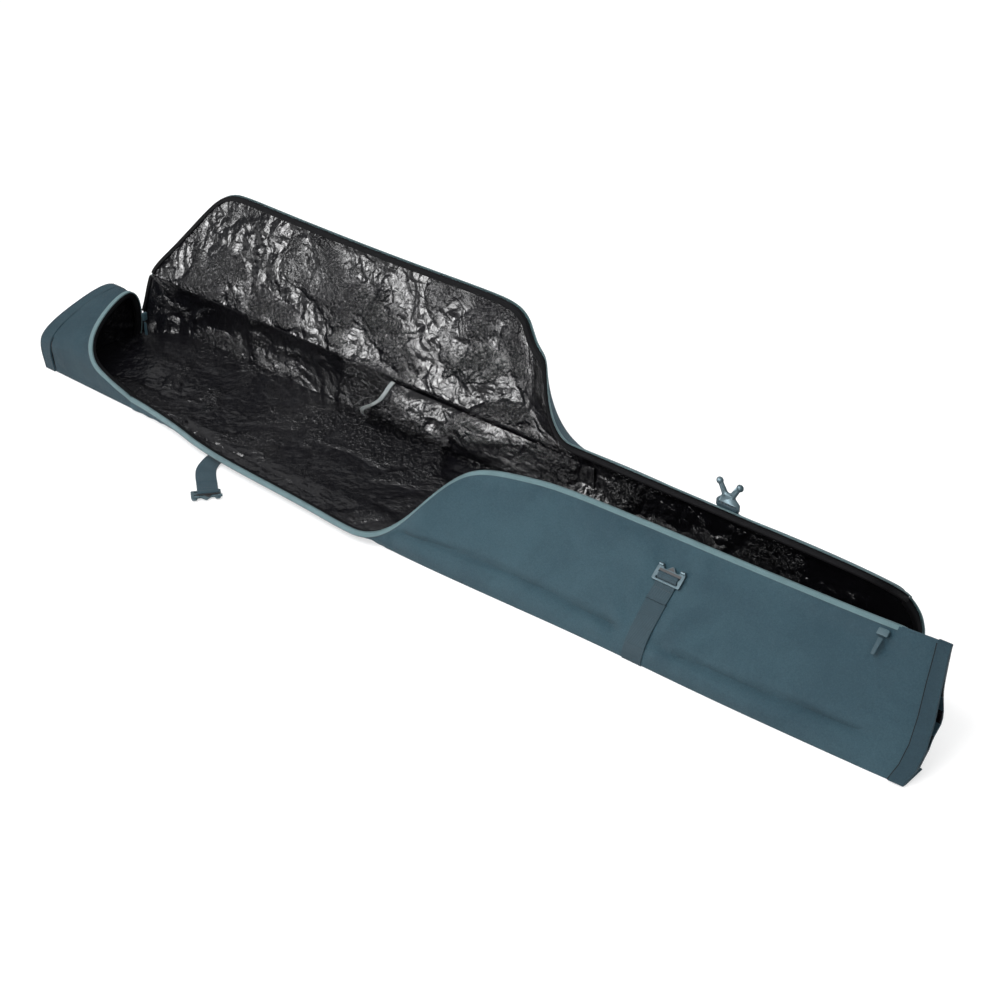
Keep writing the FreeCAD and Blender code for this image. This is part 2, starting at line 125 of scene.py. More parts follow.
# Edges of the bottom and of its lining, and the foot of the back wall: (x, y)
BOTTOM_FRONT = (
    (-0.96, -0.133), (-0.706, -0.134), (-0.696, -0.088), (-0.09, -0.088), (-0.03, -0.134), (0.96, -0.133),
)
BOTTOM_BACK = (
    (-0.96, 0.064), (-0.94, 0.075), (-0.86, 0.125), (-0.8, 0.134), (0.78, 0.134), (0.815, 0.12),
    (0.86, 0.069), (0.945, -0.122), (0.96, -0.13),
)
LINING_FRONT = (
    (-0.925, -0.126), (-0.706, -0.13), (-0.69, -0.1), (-0.09, -0.1), (-0.03, -0.14), (0.925, -0.128),
)
LINING_BACK = (
    (-0.925, 0.07), (-0.86, 0.118), (-0.8, 0.128), (0.78, 0.128), (0.815, 0.112), (0.86, 0.06),
    (0.925, -0.06),
)
WALL_FOOT = ((WALL_LEFT, 0.076), (-0.86, 0.125), (-0.8, 0.135), (WALL_RIGHT, 0.135))
# The pole sleeve: where its mouth is, by share of its height, and its other edges
MOUTH = (
    (0.0, -0.34), (0.2, -0.333), (0.38, -0.322), (0.52, -0.302), (0.66, -0.28), (0.82, -0.268),
    (1.0, -0.262),
)
SLEEVE_FOOT, SLEEVE_HEAD, SLEEVE_END = 0.016, 0.114, 0.2
# Frames of the boards that the straps lie on: back, up, and the turn about X in degrees
SLOPE = (-0.135, 0.045, 41.19)
STRIP = (HINGE_BACK, HINGE_UP, -STRIP_OPEN)
FLAT = (0.0, 0.0, 0.0)
WALL_BOARD = (0.135, 0.0, 97.43)
ALONG_X, UPWARD = (1.0, 0.0, 0.0), (0.0, 0.0, 1.0)


# Curves and noise

def smooth(share):
    """A ramp from 0 to 1 with level ends."""
    share = np.clip(share, 0.0, 1.0)
    return share * share * (3.0 - 2.0 * share)


def ramp(value, start, end):
    """How far value is on its way from start to end, eased at both ends."""
    return smooth((np.asarray(value, float) - start) / (end - start))


def hump(value, middle, width):
    """A bell-shaped rise of height 1 about a middle."""
    return np.exp(-((value - middle) / width) ** 2)


def rounded(corners, count, passes=3):
    """count points, evenly numbered, along an outline whose inner corners are cut round."""
    line = np.array(corners, float)
    for _ in range(passes):
        near = line[:-1] * 0.75 + line[1:] * 0.25
        far = line[:-1] * 0.25 + line[1:] * 0.75
        middle = np.stack([near, far], axis=1).reshape(-1, line.shape[1])
        line = np.vstack([line[:1], middle, line[-1:]])
    return resampled(line, np.linspace(0.0, len(line) - 1.0, count))


def resampled(line, wanted, known=None):
    """The points of a line at the wanted values of a parameter, which is known at each point."""
    known = np.arange(len(line)) if known is None else known
    return np.stack([np.interp(wanted, known, column) for column in line.T], axis=1)


def lengths(line):
    """Distance along a line at each of its points."""
    steps = np.linalg.norm(np.diff(line, axis=0), axis=1)
    return np.concatenate([[0.0], np.cumsum(steps)])


def even(line, spacing):
    """The same line with points an even distance apart."""
    line = np.asarray(line, float)
    run = lengths(line)
    count = max(2, int(round(run[-1] / spacing)) + 1)
    return resampled(line, np.linspace(0.0, run[-1], count), run)


def read(table, x):
    """A table of (x, value) read at x."""
    return np.interp(x, *np.transpose(table))


def read_rounded(table, x):
    """A table of (x, value) with its corners cut round, read at x."""
    return read(rounded(table, 400, 2), x)


def noise(u, v, seed):
    """Smooth noise from 0 to 1 over a plane, the same in each run."""
    u, v = np.asarray(u, float), np.asarray(v, float)
    low_u, low_v = np.floor(u), np.floor(v)
    part_u, part_v = smooth(u - low_u), smooth(v - low_v)

    def corner(step_u, step_v):
        key = np.sin((low_u + step_u) * 127.1 + (low_v + step_v) * 311.7 + seed * 74.7) * 43758.5453
        return key - np.floor(key)

    low = corner(0, 0) * (1 - part_u) + corner(1, 0) * part_u
    high = corner(0, 1) * (1 - part_u) + corner(1, 1) * part_u
    return low * (1 - part_v) + high * part_v


def creases(u, v, cell, seed):
    """Sharp-backed folds from -1 to 1, as in a crumpled sheet, with a main cell size in metres."""
    bend_u = u + cell * 1.4 * (noise(u / cell / 1.7, v / cell / 1.7, seed + 5) - 0.5)
    bend_v = v + cell * 1.4 * (noise(u / cell / 1.5, v / cell / 1.5, seed + 9) - 0.5)
    total = np.zeros_like(u)
    weight = 0.0
    for octave in range(3):
        scale = cell / 1.9 ** octave
        strength = 0.55 ** octave
        raw = noise(bend_u / scale, bend_v / scale * 0.8, seed + 13 * octave)
        total += strength * (1.0 - 4.0 * np.abs(raw - 0.5))
        weight += strength
    return total / weight


# Directions

def unit(vectors):
    """Vectors of length 1."""
    return vectors / np.maximum(np.linalg.norm(vectors, axis=-1, keepdims=True), 1e-12)


def normals(grid):
    """Unit normals of a grid of points."""
    return unit(np.cross(np.gradient(grid, axis=0), np.gradient(grid, axis=1)))


def pointing(vectors, sample, axis):
    """The vectors, all reversed where needed so that the sample one points along +axis."""
    return -vectors if vectors[sample][axis] < 0 else vectors


def squared(vectors, line):
    """Unit vectors made square to the line's unit vectors, one by one."""
    return unit(vectors - line * np.sum(vectors * line, axis=1, keepdims=True))


def repeated(vector, count):
    """The same vector at each of count points."""
    return np.tile(np.array(vector, float), (count, 1))


# Meshes

def make_object(name, points, faces, places, material, sharp=50.0):
    """A smooth-shaded mesh object with a UV map in metres."""
    mesh = bpy.data.meshes.new(name)
    mesh.from_pydata([tuple(p) for p in points], [], faces)
    layer = mesh.uv_layers.new(name="metres")
    corner_points = np.zeros(len(mesh.loops), int)
    mesh.loops.foreach_get("vertex_index", corner_points)
    layer.data.foreach_set("uv", np.asarray(places, np.float32)[corner_points].ravel())
    return shown(name, mesh, material, sharp)


def shown(name, mesh, material, sharp):
    """A mesh with one material, smooth but for edges sharper than an angle, put in the scene."""
    mesh.polygons.foreach_set("use_smooth", [True] * len(mesh.polygons))
    mesh.set_sharp_from_angle(angle=math.radians(sharp))
    mesh.materials.clear()
    mesh.materials.append(material)
    mesh.update()
    thing = bpy.data.objects.new(name, mesh)
    bpy.context.scene.collection.objects.link(thing)
    return thing


def chart(run, over):
    """Flat places for a grid, from the distances along its two directions."""
    return np.stack(np.meshgrid(run, over, indexing="ij"), axis=2).reshape(-1, 2)


def sheet(name, grid, thickness, material, flip=False):
    """A closed sheet: the grid, a second skin behind it, and a rim between them."""
    rows, columns = grid.shape[:2]
    back = grid - normals(grid) * (-thickness if flip else thickness)
    points = np.concatenate([grid.reshape(-1, 3), back.reshape(-1, 3)])
    run = np.cumsum(np.linalg.norm(np.diff(grid, axis=0, prepend=grid[:1]), axis=2).mean(axis=1))
    over = np.cumsum(np.linalg.norm(np.diff(grid, axis=1, prepend=grid[:, :1]), axis=2).mean(axis=0))
    place = chart(run, over)
    number = np.arange(rows * columns).reshape(rows, columns)
    a, b = number[:-1, :-1].ravel(), number[1:, :-1].ravel()
    c, d = number[1:, 1:].ravel(), number[:-1, 1:].ravel()
    front = np.stack([a, b, c, d], axis=1)
    behind = np.stack([d, c, b, a], axis=1) + rows * columns
    loop = np.concatenate([number[:, 0], number[-1, 1:], number[-2::-1, -1], number[0, -2:0:-1]])
    after = np.roll(loop, -1)
    rim = np.stack([after, loop, loop + rows * columns, after + rows * columns], axis=1)
    faces = np.concatenate([front, behind, rim])
    if flip:
        faces = faces[:, ::-1]
    return make_object(name, points, faces.tolist(), np.concatenate([place, place]), material)


def ribbon(name, centre, across, facing, profile, material):
    """A band along a line. The profile is a closed outline of (across, facing) offsets."""
    rings = np.stack([centre + across * a + facing * f for a, f in profile], axis=1)
    rows, columns = rings.shape[:2]
    number = np.arange(rows * columns).reshape(rows, columns)
    following = np.roll(number, -1, axis=1)
    faces = np.stack([number[:-1], number[1:], following[1:], following[:-1]], axis=2).reshape(-1, 4).tolist()
    faces += [number[0].tolist(), number[-1][::-1].tolist()]
    place = chart(lengths(centre), lengths(np.array(profile, float)))
    return make_object(name, rings.reshape(-1, 3), faces, place, material, 40.0)


def box_profile(start, end, low, high):
    """A band's cross-section with its corners taken off."""
    cut = min(end - start, high - low) * 0.28
    return [
        (start + cut, low), (end - cut, low), (end, low + cut), (end, high - cut),
        (end - cut, high), (start + cut, high), (start, high - cut), (start, low + cut),
    ]


def round_profile(across, facing, radius, count=8):
    """A round cross-section."""
    turns = [2.0 * math.pi * step / count for step in range(count)]
    return [(across + radius * math.cos(t), facing + radius * math.sin(t)) for t in turns]


def rod(name, line, radius, material, start=UPWARD, flat=1.0):
    """A round rod along a line."""
    fine = even(line, 0.002)
    ahead = unit(np.gradient(fine, axis=0))
    side = unit(np.cross(ahead, start))
    profile = [(a, f * flat) for a, f in round_profile(0.0, 0.0, radius, 14)]
    return ribbon(name, fine, side, np.cross(ahead, side), profile, material)


# A stitch's outline and crown, as shares of its length, width and height, and its faces
STITCH = (
    (-0.5, 0.0, 0.0), (-0.3, 0.5, 0.0), (0.3, 0.5, 0.0), (0.5, 0.0, 0.0), (0.3, -0.5, 0.0),
    (-0.3, -0.5, 0.0), (-0.3, 0.0, 0.6), (0.3, 0.0, 0.6),
)
STITCH_FACES = ((0, 1, 6), (1, 2, 7, 6), (2, 3, 7), (3, 4, 7), (4, 5, 6, 7), (5, 0, 6), (5, 4, 3, 2, 1, 0))
STITCH_LIFT = 0.0002


def stitches(name, line, facing, material, pitch=0.0045, length=0.0032, width=0.0009):
    """A row of thread stitches, each a small pillow lying along the line."""
    run = lengths(line)
    count = int(run[-1] / pitch)
    middles = (np.arange(count) + 0.5) * run[-1] / count
    centre = resampled(line, middles, run)
    ahead = unit(resampled(line, middles + 0.0005, run) - resampled(line, middles - 0.0005, run))
    up = unit(resampled(facing, middles, run))
    side = unit(np.cross(ahead, up))
    points, faces = [], []
    for middle, forward, over, lifted in zip(centre, ahead, side, up):
        faces += [[len(points) + corner for corner in face] for face in STITCH_FACES]
        points += [middle + forward * a * length + over * s * width + lifted * (STITCH_LIFT + h * width)
                   for a, s, h in STITCH]
    return make_object(name, points, faces, np.zeros((len(points), 2)), material, 80.0)


# Materials

class Shader:
    """A Principled material under construction. Its fields are sockets or plain numbers."""

    def __init__(self, name, roughness, sheen=0.0, metallic=0.0, specular=0.5):
        self.material = bpy.data.materials.new(name)
        self.material.use_nodes = True
        self.tree = self.material.node_tree
        self.shader = self.tree.nodes["Principled BSDF"]
        self.fill(self.shader, {"Roughness": roughness, "Sheen Weight": sheen, "Metallic": metallic,
                                "Specular IOR Level": specular})
        self.place = self.tree.nodes.new("ShaderNodeTexCoord").outputs

    def fill(self, node, inputs):
        """Set or link a node's inputs."""
        for key, value in inputs.items():
            if isinstance(value, (int, float)):
                node.inputs[key].default_value = value
            else:
                self.tree.links.new(value, node.inputs[key])

    def add(self, kind, inputs, output, **settings):
        """A new node's output."""
        node = self.tree.nodes.new("ShaderNode" + kind)
        for key, value in settings.items():
            setattr(node, key, value)
        self.fill(node, inputs)
        return node.outputs[output]

    def noise(self, scale, detail=2.0, distortion=0.0):
        inputs = {"Vector": self.place["Object"], "Scale": scale, "Detail": detail, "Distortion": distortion}
        return self.add("TexNoise", inputs, "Fac")

    def bands(self, period, direction):
        inputs = {"Vector": self.place["UV"], "Scale": 0.314 / period, "Detail": 0.0}
        return self.add("TexWave", inputs, "Fac", wave_type="BANDS", bands_direction=direction)

    def cells(self, scale):
        inputs = {"Vector": self.place["Object"], "Scale": scale}
        return self.add("TexVoronoi", inputs, "Distance", feature="DISTANCE_TO_EDGE")

    def product(self, first, second):
        return self.add("Math", {0: first, 1: second}, "Value", operation="MULTIPLY")

    def weighted(self, first, first_share, second, second_share):
        inputs = {0: self.product(first, first_share), 1: self.product(second, second_share)}
        return self.add("Math", inputs, "Value", operation="ADD")

    def mapped(self, factor, **ends):
        """A factor mapped onto another range. The ends are from_min, from_max, to_min and to_max."""
        inputs = {key.replace("_", " ").title(): value for key, value in ends.items()}
        return self.add("MapRange", {"Value": factor, **inputs}, "Result")

    def roughness(self, factor, low, high):
        self.fill(self.shader, {"Roughness": self.mapped(factor, to_min=low, to_max=high)})

    def colour(self, factor, *stops):
        colour = self.add("ValToRGB", {"Fac": factor}, "Color")
        elements = colour.node.color_ramp.elements
        while len(elements) < len(stops):
            elements.new(0.5)
        for element, (position, shade) in zip(elements, stops):
            element.position = position
            element.color = (*shade, 1.0)
        self.fill(self.shader, {"Base Color": colour})

    def bump(self, height, distance, strength=1.0):
        """Relief, laid over any relief that the material has already."""
        inputs = {"Height": height, "Distance": distance, "Strength": strength}
        if self.shader.inputs["Normal"].is_linked:
            inputs["Normal"] = self.shader.inputs["Normal"].links[0].from_socket
        self.fill(self.shader, {"Normal": self.add("Bump", inputs, "Normal")})


def woven(name, dark, light):
    """Plain-woven polyester with a slow drift of shade."""
    made = Shader(name, 0.82, sheen=0.04, specular=0.12)
    thread = 0.0009
    weave = made.product(made.bands(thread, "X"), made.bands(thread, "Y"))
    slow = made.noise(7.0, 5.0, 0.9)
    mixed = made.weighted(slow, 0.62, made.noise(420.0, 3.0), 0.42)
    made.colour(made.weighted(mixed, 0.8, weave, 0.25), (0.34, dark), (0.7, light))
    made.roughness(slow, 0.74, 0.9)
    made.bump(made.noise(14.0, 4.0, 0.8), 0.006, 0.6)
    made.bump(made.noise(55.0, 3.0, 0.6), 0.0016, 0.5)
    made.bump(weave, 0.00035, 0.7)
    return made.material


def ribbed(name, dark, light, period, rough=0.7, height=0.0005, sheen=0.06, specular=0.15):
    """Narrow woven goods with ribs across them."""
    made = Shader(name, rough, sheen=sheen, specular=specular)
    ribs = made.bands(period, "X")
    made.colour(made.weighted(ribs, 0.6, made.noise(40.0, 3.0), 0.4), (0.2, dark), (0.85, light))
    made.bump(ribs, height, 0.8)
    return made.material


def coated(name):
    """Black coated liner: glossy folds and sharp crinkles, with patches of finer crackle."""
    made = Shader(name, 0.16, specular=0.22)
    patches = made.mapped(made.noise(6.0, 3.0, 0.8), from_min=0.49, from_max=0.6)
    middle = made.noise(52.0, 4.0, 1.6)
    made.colour(middle, (0.3, (0.0035, 0.0033, 0.0044)), (0.6, (0.0055, 0.0055, 0.007)),
                (0.85, (0.01, 0.011, 0.013)))
    made.roughness(middle, 0.09, 0.26)
    made.bump(made.cells(9.0), 0.034, 0.22)
    made.bump(middle, 0.009, 0.26)
    made.bump(made.product(middle, patches), 0.009, 0.6)
    made.bump(made.cells(48.0), 0.0065, 0.4)
    made.bump(made.product(made.noise(150.0, 2.0, 1.2), patches), 0.0075, 1.0)
    return made.material


def plain(name, dark, light, rough, metallic=0.0, specular=0.5):
    """Metal or moulded plastic with a fine grain and slightly worn shade."""
    made = Shader(name, rough, metallic=metallic, specular=specular)
    grain = 260.0
    made.colour(made.noise(30.0, 4.0), (0.3, dark), (0.75, light))
    made.roughness(made.noise(grain, 2.0), rough - 0.08, rough + 0.1)
    made.bump(made.noise(grain, 3.0), 0.0002, 0.35)
    return made.material


OUTER = woven("outer_weave", (0.0165, 0.043, 0.06), (0.04, 0.084, 0.106))
# The hood is the same fabric as the outer, painted darker as shade: this copy darkens the hood and its hem,
# which the lamps light more than the front.
HOOD_SHADED_OUTER = woven("hood_weave_painted_shade", (0.0105, 0.03, 0.043), (0.027, 0.06, 0.077))
HEM = woven("hem_weave", (0.0105, 0.029, 0.042), (0.025, 0.055, 0.072))
LINER = coated("coated_liner")
BINDING = ribbed("grosgrain", (0.003, 0.003, 0.0036), (0.0085, 0.0085, 0.0098), 0.0016, sheen=0.0,
                 specular=0.04)
ZIP_TAPE = ribbed("zip_tape", (0.075, 0.135, 0.15), (0.15, 0.245, 0.262), 0.0014, sheen=0.08)
ZIP_COIL = ribbed("zip_coil", (0.035, 0.066, 0.075), (0.14, 0.225, 0.24), 0.0016, rough=0.45, height=0.0009)
WEBBING = ribbed("strap_webbing", (0.0115, 0.03, 0.042), (0.028, 0.059, 0.077), 0.0019, height=0.0006,
                 sheen=0.05)
ELASTIC = ribbed("elastic_band", (0.17, 0.19, 0.19), (0.36, 0.39, 0.39), 0.0016)
# Near-black for the tail hem's first seam. The stitches are real thread, but their near-black colour and the
# strip under them are painted shade along the seam.
SEAM_SHADE_THREAD = plain("seam_shade_thread", (0.0025, 0.0035, 0.0045), (0.005, 0.007, 0.009), 0.8, specular=0.1)
THREAD = plain("thread", (0.012, 0.026, 0.036), (0.024, 0.045, 0.058), 0.8)
HARDWARE = plain("anodised", (0.034, 0.06, 0.073), (0.066, 0.1, 0.116), 0.42, metallic=0.35, specular=0.3)
# Dark metal for the buckle's tongue, and for the dark slab in its slot, which is painted shade.
DARK_METAL_AND_SHADE = plain("dark_metal_and_shade", (0.006, 0.006, 0.007), (0.014, 0.014, 0.016), 0.35, metallic=0.4)
SLIDER = plain("slider_metal", (0.026, 0.055, 0.07), (0.044, 0.082, 0.098), 0.55, metallic=0.1, specular=0.2)
RUBBER = plain("pull_rubber", (0.018, 0.044, 0.06), (0.032, 0.066, 0.084), 0.7, specular=0.2)


def finish_piece(thing, slot, body="bag", replaces=(), blend=None, padded=None):
    """Attach a piece to the body it moves with, or bake its place where it blends between two bodies, and
    hide the imported nodes it replaces. The slot is not used.
    """
    if blend:
        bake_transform(thing)
    else:
        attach(thing, body)
    if replaces:
        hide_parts(*replaces)


def skin(name, grid, thickness, material, slot, flip=False, **moves):
    """A finished sheet."""
    finish_piece(sheet(name, grid, thickness, material, flip), slot, **moves)


def zip_set(name, centre, across, facing, blend=None, replaces=((), (), ()), reach=0.0015):
    """Tape, coil, binding and thread along an edge. Across points past the edge, facing outwards."""
    line = (centre, across, facing)
    inner = reach - TAPE_WIDTH
    tape = ribbon(f"{name}_tape", *line, box_profile(inner, reach, 0.0004, 0.0018), ZIP_TAPE)
    coil = ribbon(f"{name}_coil", *line, round_profile(reach + 0.0004, 0.0006, 0.0015), ZIP_COIL)
    depth = PADDING + 0.0028
    crest = 0.003
    wrap = [
        (reach - 0.005, -0.001), (-0.004, -0.0062), (-BINDING_WIDTH - 0.0004, -depth + 0.0014),
        (-BINDING_WIDTH, -depth - 0.0008), (-0.004, -depth - 0.0012), (crest - 0.0004, -0.0102),
        (crest + 0.0012, -0.0072), (crest + 0.0012, -0.0034), (crest, -0.0012), (reach - 0.003, 0.0002),
    ]
    bind = ribbon(f"{name}_binding", *line, wrap, BINDING)
    seam = centre + across * (inner - 0.0006) + facing * 0.0009
    thread = stitches(f"{name}_thread", seam, facing, THREAD, pitch=0.0034, length=0.0031, width=0.0013)
    slots = ("zipper", "zipper", "binding", "zipper")
    for piece, slot, stood in zip((tape, coil, bind, thread), slots, (*replaces, ())):
        finish_piece(piece, slot, blend=blend, replaces=stood)


# Front: one sheet from the fold of the flap, along the floor, up to the zipper

zip_line = even(rounded(ZIP_FRONT, 900, 2), 0.006)


def slanted(x, up):
    """The tail's end is cut in a curve: it leans back at the top and reaches furthest low down."""
    return x + read(TAIL_CUT, up) * ramp(x, PANEL_RIGHT, TAIL_TIP)


def front_rows(zip_points, rows_floor=10, rows_wall=42):
    """A section of the front under each point of the zipper: along the floor, then up to the zipper."""
    x, back, up = zip_points.T
    foot = read_rounded(FRONT_FOOT, x)
    rise = ramp(up, 0.03, 0.15)
    lean = ramp(x, 0.85, 0.945)
    floor_share = np.linspace(0.0, 1.0, rows_floor, endpoint=False)
    floor_y = FOLD_BACK + np.outer(foot - FOLD_BACK, floor_share)
    floor_z = np.tile(FOLD_UP * (1.0 - floor_share) + FLOOR_GAP, (len(x), 1))
    share = 1.0 - np.linspace(1.0, 0.0, rows_wall) ** 1.4
    low_y = (foot - 0.008 + 0.003 * rise) * (1 - lean) + (foot * 0.7 + back * 0.3) * lean
    low_z = (0.01 + 0.022 * rise) * (1 - lean) + 0.3 * up * lean
    high_y = (back - 0.072 * rise - 0.004 * (1.0 - rise)) * (1 - lean) + (foot * 0.35 + back * 0.65) * lean
    high_z = (up - 0.01 - 0.052 * rise) * (1 - lean) + 0.65 * up * lean
    shares = ((1 - share) ** 3, 3 * (1 - share) ** 2 * share, 3 * (1 - share) * share ** 2, share ** 3)
    wall_y = sum(np.outer(a, s) for a, s in zip((foot, low_y, high_y, back), shares))
    wall_z = sum(np.outer(a, s) for a, s in zip((np.full_like(x, FLOOR_GAP), low_z, high_z, up), shares))
    grid = np.zeros((len(x), rows_floor + rows_wall, 3))
    grid[:, :, 1] = np.concatenate([floor_y, wall_y], axis=1)
    grid[:, :, 2] = np.concatenate([floor_z, wall_z], axis=1)
    grid[:, :, 0] = slanted(x[:, None], grid[:, :, 2])
    return grid


def front_relief(x, height, edge_gap):
    """How far the front stands out: slack waves, the crease above the foot, puckers at the strap."""
    on_panel = ramp(x, -0.06, 0.06)
    away = smooth((edge_gap - 0.009) / 0.03)
    waves = 0.0085 * (noise(x / 0.15, height / 0.07, 3) - 0.5)
    waves = waves + 0.0036 * (noise(x / 0.055, height / 0.028, 7) - 0.5)
    slant = noise(x / 0.22 + height / 0.11, height / 0.3, 13) - 0.5
    crease = -0.008 * hump(height, 0.04 + 0.004 * np.sin(x * 9.0), 0.0055)
    strip = 0.003 * hump(height, 0.02, 0.01)
    gap = np.abs(x - STRAP_AT)
    clear = smooth((gap - 0.018) / 0.03)
    pucker = hump(gap, 0.0, 0.07) * np.sin(height * 150.0 - gap * 90.0 + 1.2 * np.sign(x - STRAP_AT))
    pucker = 0.0062 * pucker * hump(height, 0.04, 0.03)
    on_tail = 0.01 * ramp(x, 0.58, 0.78) * (1 - ramp(x, 0.9, 0.93)) * slant
    whole = on_panel * (waves + crease + strip + pucker + 0.01 * slant + on_tail) + (1 - on_panel) * waves
    drawn = 0.0016 * np.sin(x * 190.0 + 4.0 * noise(x / 0.05, height / 0.2, 17)) * np.exp(-edge_gap / 0.022)
    calm = (1.0 - 0.9 * ramp(x, 0.84, 0.92)) * smooth((height - 0.003) / 0.022)
    return clear * (away * calm * whole + smooth((edge_gap - 0.01) / 0.008) * drawn)


front = front_rows(zip_line)
front_out = pointing(normals(front), (len(front) // 2, -8), 2)
run_u = np.repeat(front[:, :1, 0], front.shape[1], axis=1)
run_v = np.cumsum(np.linalg.norm(np.diff(front, axis=1, prepend=front[:, :1]), axis=2), axis=1)
from_edge = run_v[:, -1:] - run_v
front = front + front_out * front_relief(run_u, front[:, :, 2], from_edge)[:, :, None]
front[:, :, 2] = np.maximum(front[:, :, 2], LOWEST)

inner_gap = RIM_PADDING + (PADDING - RIM_PADDING) * smooth(from_edge / 0.02)
crumple = creases(run_u, run_v, 0.055, 21)
inner_loose = smooth((from_edge - 0.014) / 0.03)
loose = (1.0 - ramp(run_u, -0.02, 0.12)) * inner_loose * smooth(run_v / 0.03)
inner_gap = inner_gap + 0.006 * (crumple + 1.0) * loose + 0.0012 * crumple * inner_loose
front_liner = front - front_out * inner_gap[:, :, None]
front_liner[:, :, 2] = np.maximum(front_liner[:, :, 2], 0.004 + 0.003 * (crumple + 1.0))

edge_across = unit(front[:, -1] - front[:, -3])
edge_facing = squared(front_out[:, -2], edge_across)
edge_centre = front[:, -1] - edge_facing * 0.0032 * ramp(zip_line[:, :1], 0.855, 0.866)

split = int(np.argmin(np.abs(zip_line[:, 0] - FLAP_SPLIT)))
last_rim = int(np.argmin(np.abs(zip_line[:, 0] - PANEL_RIGHT)))
HALVES = {
    "left": {
        "run": slice(0, split + 1),
        "lined": slice(0, split + 1),
        "blend": ("bag", "front_flap", (FLAP_LEFT, 0, 0), (-0.51, 0, 0)),
        "outer": ("flap_shell", "flap_foam", "flap_gussets", "flap_seam"),
        "liner": ("flap_liner",),
        "zip": (("flap_tape",), ("flap_coil",), ()),
    },
    "right": {
        "run": slice(split, len(zip_line)),
        "lined": slice(split, last_rim + 1),
        "blend": ("bag", "front_flap", (0.06, 0, 0), (-0.11, 0, 0)),
        "outer": ("front_low_shell", "front_low_foam", "front_high_shell", "front_high_foam"),
        "liner": ("front_low_liner", "front_high_liner"),
        "zip": (("rim_tape",), ("rim_coil",), ("rim_binding",)),
    },
}
for side, half in HALVES.items():
    skin(f"front_outer_{side}", front[half["run"]], FABRIC, OUTER, "outer_fabric", flip=True,
         blend=half["blend"], replaces=half["outer"], padded=0.4)
for side, half in HALVES.items():
    skin(f"front_liner_{side}", front_liner[half["lined"]], LINING, LINER, "liner",
         blend=half["blend"], replaces=half["liner"])
for side, half in HALVES.items():
    part = half["lined"]
    zip_set(f"rim_{side}", edge_centre[part], edge_across[part], edge_facing[part], blend=half["blend"],
            replaces=half["zip"])


# Hood

AROUND = 90
hem_ring = rounded(HOOD_HEM, AROUND)
rim_ring = rounded(HOOD_RIM, AROUND)
ring_share = np.linspace(0.0, 1.0, AROUND)
hood_reach = read_rounded(HOOD_REACH, ring_share)


def hood_grid(start, end, inset=0.0):
    """The hood from x = start to end, each a number or one number for each point round it."""
    rows = 46
    start = np.broadcast_to(start, (AROUND,))
    end = np.broadcast_to(end, (AROUND,))
    share = np.linspace(0.0, 1.0, rows)[:, None]
    x = start[None] * (1 - share) + end[None] * share
    mix = np.clip((x - HOOD_TIP) / 0.2, 0.0, 1.0)
    back = hem_ring[None, :, 0] * (1 - mix) + rim_ring[None, :, 0] * mix
    up = hem_ring[None, :, 1] * (1 - mix) + rim_ring[None, :, 1] * mix
    grid = np.stack([x, back, up], axis=2)
    outward = pointing(normals(grid), (rows // 2, AROUND // 2), 2)
    folds = 0.0065 * (noise(x / 0.07, ring_share[None] * 5.0, 31) - 0.5)
    folds = folds + 0.002 * (noise(x / 0.025, ring_share[None] * 14.0, 35) - 0.5)
    fade = smooth(up / 0.02) * smooth((x - HOOD_TIP) / 0.03) * smooth((end[None] - x) / 0.03)
    return grid + outward * (folds * fade - inset)[:, :, None], outward


hood, hood_out = hood_grid(HOOD_TIP + 0.002, hood_reach)
flip_hood = normals(hood)[20, AROUND // 2, 2] < 0
# The hood and its hem wear the darker copy of the outer weave, which is painted shade.
skin("hood_outer", hood, FABRIC, HOOD_SHADED_OUTER, "outer_fabric", flip=flip_hood,
     replaces=("left_hood",), padded=0.5)
lining, _ = hood_grid(HOOD_HEM_END, hood_reach - 0.001, inset=0.0055)
skin("hood_liner", lining, LINING, LINER, "liner", flip=not flip_hood)

hood_hem, hem_out = hood_grid(HOOD_TIP, HOOD_HEM_END, inset=-HEM_LIFT)
skin("hood_hem", hood_hem, HEM_LAYER, HOOD_SHADED_OUTER, "hem", flip=flip_hood, replaces=("left_hem",))
for number, where in enumerate((-5, 5)):
    seam_line = even(hood_hem[where] + hem_out[where] * 0.0002, 0.004)
    seam_out = resampled(hem_out[where], np.linspace(0, AROUND - 1, len(seam_line)))
    finish_piece(stitches(f"hood_hem_thread_{number}", seam_line, seam_out, THREAD), "hem")


def cap(name, x, depth, material, slot):
    """The hood's flat end inside its closed hem, drawn down from the hem to its middle."""
    ring = np.vstack([hem_ring, hem_ring[:1]])
    middle_back, middle_up = ring[:, 0].mean(), 0.5 * (ring[:, 1].max() + 0.001)
    shares = np.linspace(1.0, 0.0, 14)[:, None]
    back = middle_back + (ring[None, :, 0] - middle_back) * shares
    up = middle_up + (ring[None, :, 1] - middle_up) * shares
    bulge = depth * (1.0 - shares ** 2) * np.ones_like(back)
    wrinkle = 0.002 * (noise(back / 0.03, up / 0.03, 77) - 0.5) * (1.0 - shares)
    grid = np.stack([x + bulge + wrinkle, back, up], axis=2)
    skin(name, grid, 0.0012, material, slot)


cap("hood_end", HOOD_HEM_END, -0.006, OUTER, "outer_fabric")
cap("hood_end_liner", HOOD_HEM_END + 0.003, -0.004, LINER, "liner")

hood_rim = hood[-1]
hood_past = unit(hood[-1] - hood[-3])
hood_facing = squared(hood_out[-2], hood_past)
hood_across = unit(np.cross(hood_facing, unit(np.gradient(hood_rim, axis=0))))
hood_across = hood_across * np.sign(np.sum(hood_across * hood_past, axis=1, keepdims=True))
first = int(np.argmax(hood_rim[:, 2] > HOOD_ZIP_UP)) - 1
zip_set("hood", hood_rim[first:], hood_across[first:], hood_facing[first:])


# Tail: the back of the closed end

